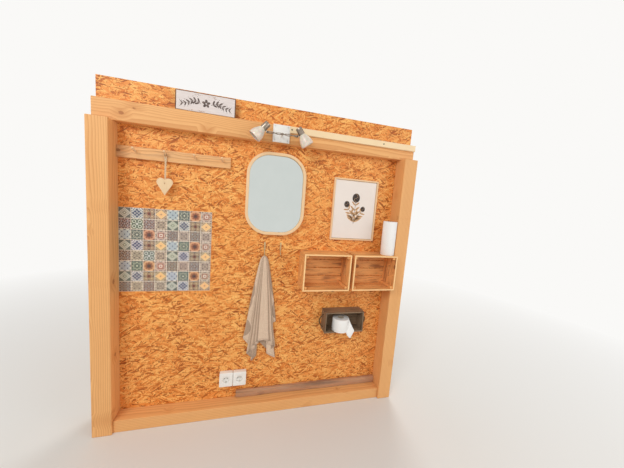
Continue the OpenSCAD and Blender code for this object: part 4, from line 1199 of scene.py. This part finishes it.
relief(linen, shader, calc(linen, "MULTIPLY_ADD", stitch, -1.5, weave), 0.0004, 0.6)
towel = piece("linen_towel", bm, linen, "linen", "towel", crease=180, shut=False)


def thicken(made, thickness):
    """Gives a flat cloth or a sheet of paper its thickness, half to each side."""
    thick = made.modifiers.new("thickness", "SOLIDIFY")
    thick.thickness = thickness
    thick.offset = 0.0


thicken(towel, CLOTH_T)
bm = bmesh.new()
loop_at = hang_at + Vector((0, 0, 0.0006))
band = [(0.0034, -0.004), (0.0042, -0.004), (0.0042, 0.004), (0.0034, 0.004), (0.0034, -0.004)]
lathe(bm, band, Matrix.Translation(loop_at) @ Matrix.Rotation(math.pi / 2, 4, "Y"), 28)
tape = piece("towel_loop", bm, twill, "linen", crease=40)

# Crates: two honey-coloured fruit crates screwed to the lining on their sides, open to the room:
# nailed thin boards round corner battens, a slatted back and a hand hole in each end.
crate_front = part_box("left_crate")[0].y


def stains_and_edge_highlight(mat, place, colour):
    """Stained streaks on the faces, and a painted highlight: the board edges towards the room are pale."""
    stain = cloud(mat, place, detail=5.0, stretch=(6.0, 52.0, 52.0), roughness=0.65)
    colour = mix(mat, spread(mat, stain, 0.5, 0.66, 0.0, 0.75), colour, screen(128, 74, 52))
    # Painted highlight: the edges of the boards that face the room are painted pale.
    sawn = spread(mat, xyz(mat, object_place(mat))[1], crate_front + 0.0022, crate_front + 0.0008)
    return mix(mat, sawn, colour, screen(252, 206, 146))


crate_wood = timber("crate_wood", screen(254, 192, 120), screen(212, 142, 80), screen(88, 46, 30), ring=0.007,
                    knots=0.9, contrast=0.75, blotch=0.5, fibre=0.16, roughness=0.6, wear=stains_and_edge_highlight)
BOARD_T, BATTEN, BATTEN_SET, SLAT_T, SLAT_GAP, SLATS = 0.009, 0.018, 0.008, 0.006, 0.005, 4
HOLE_W, HOLE_L, NAIL_R, NAIL_IN = 0.020, 0.080, 0.0018, 0.018
SWAP_XY = Matrix(((0, 1, 0, 0), (1, 0, 0, 0), (0, 0, 1, 0), (0, 0, 0, 1)))


def end_board(bm, low, high, seed):
    """A crate's end with its long hand hole, filled as a flat sheet and then given its thickness."""
    before = len(bm.verts)
    size = high - low
    middle = SWAP_XY @ ((low + high) / 2)
    flat = bmesh.new()
    outer = rounded_loop(flat, middle, size.y, size.z, 0.0015, low.x, 2)
    hole = rounded_loop(flat, middle, HOLE_W, HOLE_L, HOLE_W / 2 - 0.0001, low.x, 6)
    edges = [flat.edges.new((ring[k - 1], ring[k])) for ring in (outer, hole) for k in range(len(ring))]
    bmesh.ops.triangle_fill(flat, edges=edges, use_beauty=True)
    made = bmesh.ops.extrude_face_region(flat, geom=flat.faces[:])["geom"]
    far_side = [g for g in made if isinstance(g, bmesh.types.BMVert)]
    bmesh.ops.translate(flat, verts=far_side, vec=(0, size.x, 0))
    bmesh.ops.transform(flat, matrix=SWAP_XY, verts=flat.verts)
    bmesh.ops.recalc_face_normals(flat, faces=flat.faces)
    bmesh.ops.dissolve_limit(flat, angle_limit=0.01, verts=flat.verts, edges=flat.edges)
    loose = bpy.data.meshes.new("loose")
    flat.to_mesh(loose)
    flat.free()
    bm.from_mesh(loose)
    bpy.data.meshes.remove(loose)
    lay_grain(bm, list(bm.verts)[before:], "z", seed)


nails = bmesh.new()
for count, name in enumerate(("left_crate", "right_crate")):
    low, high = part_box(name)
    seed = 100 + 40 * count
    floor_d = (high.y - low.y - SLAT_GAP) / 2
    wall = Vector((BOARD_T, 0, BOARD_T))
    inner_low, inner_high = low + wall, high - wall
    bm = bmesh.new()
    stick(bm, (low.x, low.y, inner_high.z), high, "x", 0.0012, seed, cuts=16, wave=0.0006)
    stick(bm, low, (high.x, low.y + floor_d, inner_low.z), "x", 0.0012, seed + 1, cuts=16, wave=0.0006)
    stick(bm, (low.x, high.y - floor_d, low.z), (high.x, high.y, inner_low.z), "x", 0.0012, seed + 2)
    for k, x in enumerate((low.x, inner_high.x)):
        start, stop = Vector((x, low.y, inner_low.z)), Vector((x + BOARD_T, high.y, inner_high.z))
        end_board(bm, start, stop, seed + 3 + k)
    slat_h = (inner_high.z - inner_low.z - (SLATS - 1) * SLAT_GAP) / SLATS
    for k in range(SLATS):
        z = inner_low.z + k * (slat_h + SLAT_GAP)
        start, stop = (inner_low.x, high.y - SLAT_T, z), (inner_high.x, high.y, z + slat_h)
        stick(bm, start, stop, "x", 0.0010, seed + 6 + k, cuts=12, wave=0.0008)
    for k, x in enumerate((inner_low.x, inner_high.x - BATTEN)):
        for m, z in enumerate((inner_low.z, inner_high.z - BATTEN)):
            start, stop = (x, low.y + BATTEN_SET, z), (x + BATTEN, high.y - SLAT_T, z + BATTEN)
            stick(bm, start, stop, "y", 0.0010, seed + 12 + 2 * k + m)
    piece(name + "_boards", bm, crate_wood, "crate_wood", name)
    for x, way in ((low.x, -1), (high.x, 1)):
        for z in (low.z + NAIL_IN, high.z - NAIL_IN):
            for y in (low.y + 0.025, (low.y + high.y) / 2, high.y - 0.020):
                screw_head(nails, (x, y, z), (way, 0, 0), NAIL_R)
    for x in (low.x + NAIL_IN, high.x - NAIL_IN):
        for y in (low.y + 0.020, low.y + 0.055, high.y - 0.055, high.y - 0.020):
            screw_head(nails, (x, y, high.z), (0, 0, 1), NAIL_R)
            screw_head(nails, (x, y, low.z), (0, 0, -1), NAIL_R)
piece("crate_nails", nails, zinc, "steel", crease=35)

# Kitchen roll and toilet roll: soft white paper wound on a card core, dimpled, with the turns showing on
# the ends. The toilet roll's free end hangs out of its box to a point.
ROLL_CORE, TOILET_R, TOILET_H = 0.021, 0.056, 0.090


def tissue(name, axis_at, dimples):
    """White paper round an upright axis: painted shade in the dimples on the outside, and ends darker in
    rings along the wound layers.
    """
    mat, shader = material(name, Roughness=0.95, Specular_IOR_Level=0.15)
    out = vector(mat, "MULTIPLY", vector(mat, "SUBTRACT", object_place(mat), axis_at), (1, 1, 0))
    radius = vector(mat, "LENGTH", out)
    on_end = spread(mat, calc(mat, "ABSOLUTE", facing(mat)[2]), 0.6, 0.8)
    turns = cloud(mat, node(mat, "ShaderNodeCombineXYZ", {0: radius}).outputs[0], 1500.0, 2.0)
    cells = {"Vector": object_place(mat), "Scale": dimples}
    dots = node(mat, "ShaderNodeTexVoronoi", cells).outputs["Distance"]
    # Painted shade: the paper is darker in the middle of each dimple.
    dimple_shade = grey(mat, spread(mat, dots, 0.0, 0.5, 0.86, 0.95))
    shade = mix(mat, on_end, dimple_shade, grey(mat, spread(mat, turns, 0.3, 0.7, 0.62, 0.86)))
    paint(mat, shader, mix(mat, 1.0, shade, screen(250, 248, 244), "MULTIPLY"))
    relief(mat, shader, blend(mat, on_end, dots, turns), 0.0008, 0.5)
    return mat


card = mottled("grey_card", (176, 160, 140), (204, 190, 170), 500.0, Roughness=0.9)
low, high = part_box("kitchen_roll")
kitchen_r = (high.x - low.x) / 2
t_low, t_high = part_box("toilet_roll")
toilet_base = Vector((t_low.x + TOILET_R, t_high.y - TOILET_R, t_high.z - TOILET_H))
kitchen_base = Vector((low.x + kitchen_r, low.y + kitchen_r, low.z))
ROLL_EDGE, CORE_IN, CORE_OUT, CORE_SET = 0.002, ROLL_CORE - 0.0012, ROLL_CORE - 0.0001, 0.0003
for name, base, radius, height, dimples in (
        ("kitchen_roll", kitchen_base, kitchen_r, high.z - low.z, 180.0),
        ("toilet_roll", toilet_base, TOILET_R, TOILET_H, 260.0)):
    paper_mat = tissue(name + "_tissue", base, dimples)
    outside = radius - 0.0006
    lower = [(ROLL_CORE, 0.0006), (outside - ROLL_EDGE, 0.0), (outside - ROLL_EDGE * 0.3, ROLL_EDGE * 0.3),
             (outside, ROLL_EDGE)]
    upper = [(r, height - z) for r, z in reversed(lower)]
    bm = bmesh.new()
    lathe(bm, lower + [(outside + 0.0004, height / 2)] + upper + lower[:1], Matrix.Translation(base), 72)
    piece(name + "_paper", bm, paper_mat, "tissue", name, crease=40)
    core = [(CORE_IN, CORE_SET), (CORE_OUT, CORE_SET), (CORE_OUT, height - CORE_SET),
            (CORE_IN, height - CORE_SET), (CORE_IN, CORE_SET)]
    bm = bmesh.new()
    lathe(bm, core, Matrix.Translation(base), 40)
    piece(name + "_core", bm, card, "tissue", crease=40)

TAIL_STEPS, TAIL_ROWS, TAIL_TURN = 18, 12, math.radians(60)
box_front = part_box("roll_box")[0].y - toilet_base.y
bm = bmesh.new()
bmesh.ops.create_grid(bm, x_segments=TAIL_STEPS, y_segments=TAIL_ROWS, size=0.5)
for v in bm.verts:
    s, up = v.co.x + 0.5, v.co.y + 0.5
    turn = TAIL_TURN * (1 - up)
    on_roll = Vector((TOILET_R * math.cos(turn), -TOILET_R * math.sin(turn), 0.001 + 0.088 * up))
    leave = Vector((math.sin(-turn), -math.cos(turn), -0.25)) * 0.02
    tip = Vector((TOILET_R + 0.002, box_front - 0.030, -0.036))
    corner = Vector((TOILET_R + 0.032, box_front - 0.020, 0.011))
    hang = tip.lerp(corner, up)
    curl = Vector((0.004, -0.002, 0)) * math.sin(math.pi * s) * math.sin(3 * up + 1)
    v.co = toilet_base + on_roll.lerp(hang, s) + leave * s * (1 - s) * 2 + curl
tail = piece("toilet_roll_tail", bm, paper_mat, "tissue", crease=180, shut=False)
thicken(tail, 0.0004)

# Roll box: a shallow box of dark weathered boards nailed together, hung on the lining, with a bail of
# twisted rope on each end.


def tarred(mat, place, colour):
    """Dark stain that has worn back to grey along the grain."""
    streaks = cloud(mat, place, detail=4.0, stretch=(6.0, 110.0, 110.0), roughness=0.65)
    colour = mix(mat, spread(mat, streaks, 0.45, 0.7, 0.0, 0.7), colour, screen(148, 128, 102))
    stain = cloud(mat, place, stretch=(5.0, 24.0, 24.0))
    return mix(mat, spread(mat, stain, 0.5, 0.68, 0.0, 0.6), colour, screen(58, 46, 38))


dark_wood = timber("dark_box_wood", screen(150, 122, 94), screen(92, 70, 52), screen(48, 36, 28),
                   roughness=0.8, fibre=0.25, wear=tarred)
low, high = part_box("roll_box")
SIDE_T, BACK_T, BACK_GAP = 0.009, 0.005, 0.0012
back_h = (high.z - low.z - 2 * SIDE_T - BACK_GAP) / 2
bm = bmesh.new()
stick(bm, (low.x, low.y, high.z - SIDE_T), high, "x", 0.0012, 201, cuts=16, wave=0.0008)
stick(bm, low, (high.x, high.y, low.z + SIDE_T), "x", 0.0012, 202, cuts=16, wave=0.0008)
for k, x in enumerate((low.x, high.x - SIDE_T)):
    start, stop = (x, low.y, low.z + SIDE_T), (x + SIDE_T, high.y, high.z - SIDE_T)
    stick(bm, start, stop, "z", 0.0010, 203 + k, cuts=8, wave=0.0006)
for k, z in enumerate((low.z + SIDE_T, high.z - SIDE_T - back_h)):
    start, stop = (low.x + SIDE_T, high.y - BACK_T, z), (high.x - SIDE_T, high.y, z + back_h)
    stick(bm, start, stop, "x", 0.0008, 206 + k)
piece("roll_box_boards", bm, dark_wood, "roll_box_wood", "roll_box")

rope, shader = material("hemp_rope", Roughness=0.95)
hairs = cloud(rope, object_place(rope), 900.0, 4.0, roughness=0.7)
paint(rope, shader, mix(rope, hairs, screen(66, 50, 36), screen(112, 90, 64)))
relief(rope, shader, hairs, 0.0004, 0.7)
ROPE_R, ROPE_LAY, ROPE_STEPS = 0.0045, 0.022, 72
for name, side in (("box_handle_left", -1), ("box_handle_right", 1)):
    low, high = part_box(name)
    half = (high.z - low.z) / 2 - 0.002
    foot_x, tip_x = (high.x, low.x) if side < 0 else (low.x, high.x)
    bow = tip_x - foot_x - side * ROPE_R
    centre = (low + high) / 2
    bm = bmesh.new()
    for k in range(3):
        a = 2 * math.pi * k / 3
        start = Matrix.Translation((ROPE_R * 0.48 * math.cos(a), ROPE_R * 0.48 * math.sin(a), -half))
        strand(bm, start, ROPE_R * 0.5, 8, (0, 0, 0), (0, 0, 1), 2 * half, ROPE_LAY, ROPE_STEPS)
    for v in bm.verts:
        s = v.co.z / half
        v.co = Vector((foot_x + bow * (1 - s * s) + v.co.x, centre.y + v.co.y, centre.z + v.co.z))
    piece(name + "_rope", bm, rope, "rope", name, crease=50)

# Wall sockets: two white surface boxes side by side, each with a round recess, two pin holes, sprung
# earth clips above and below, and a screw in the middle. The pin holes are dark discs of painted shade.
hole_shade = mottled("socket_hole_shade", (40, 38, 36), (70, 66, 62), 300.0, 2.0, Roughness=0.7)
bright = brushed("bright_nickel", screen(206, 198, 188), 0.2)
RECESS_D, PIN_OFF, CLIP_OFF = 0.017, 0.0095, 0.0195
ring = [(0.0228, -0.0005), (0.0228, 0.0), (0.0222, 0.0006), (0.0214, 0.0004), (0.0209, -0.0008),
        (0.0209, -0.002), (0.0228, -0.0005)]
pin_hole = [(0.0, 0.0003), (0.0026, 0.0003), (0.0026, -0.0003), (0.0, -0.0003)]
for name in ("left_socket", "right_socket"):
    low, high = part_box(name)
    middle = (low + high) / 2
    floor_y = low.y + RECESS_D
    piece(name + "_box", cad_copy(name, 0.0022), plastic, "white_plastic", name, crease=35)
    bm = bmesh.new()
    lathe(bm, ring, facing_room((middle.x, low.y + 0.0006, middle.z)), 48)
    piece(name + "_ring", bm, plastic, "white_plastic", crease=35)
    bm = bmesh.new()
    # Painted shade: flat dark discs on the recess floor stand for the pin holes.
    for x in (middle.x - PIN_OFF, middle.x + PIN_OFF):
        lathe(bm, pin_hole, facing_room((x, floor_y, middle.z)), 20)
    piece(name + "_pin_hole_shade", bm, hole_shade, "white_plastic", crease=35)
    bm = bmesh.new()
    for z in (middle.z - CLIP_OFF, middle.z + CLIP_OFF):
        start, stop = (middle.x - 0.0025, low.y + 0.003, z - 0.0012), (middle.x + 0.0025, floor_y, z + 0.0012)
        stick(bm, start, stop, "y", 0.0006)
    screw_head(bm, (middle.x, floor_y, middle.z), (0, -1, 0), 0.0026)
    piece(name + "_clips", bm, bright, "steel", crease=35)
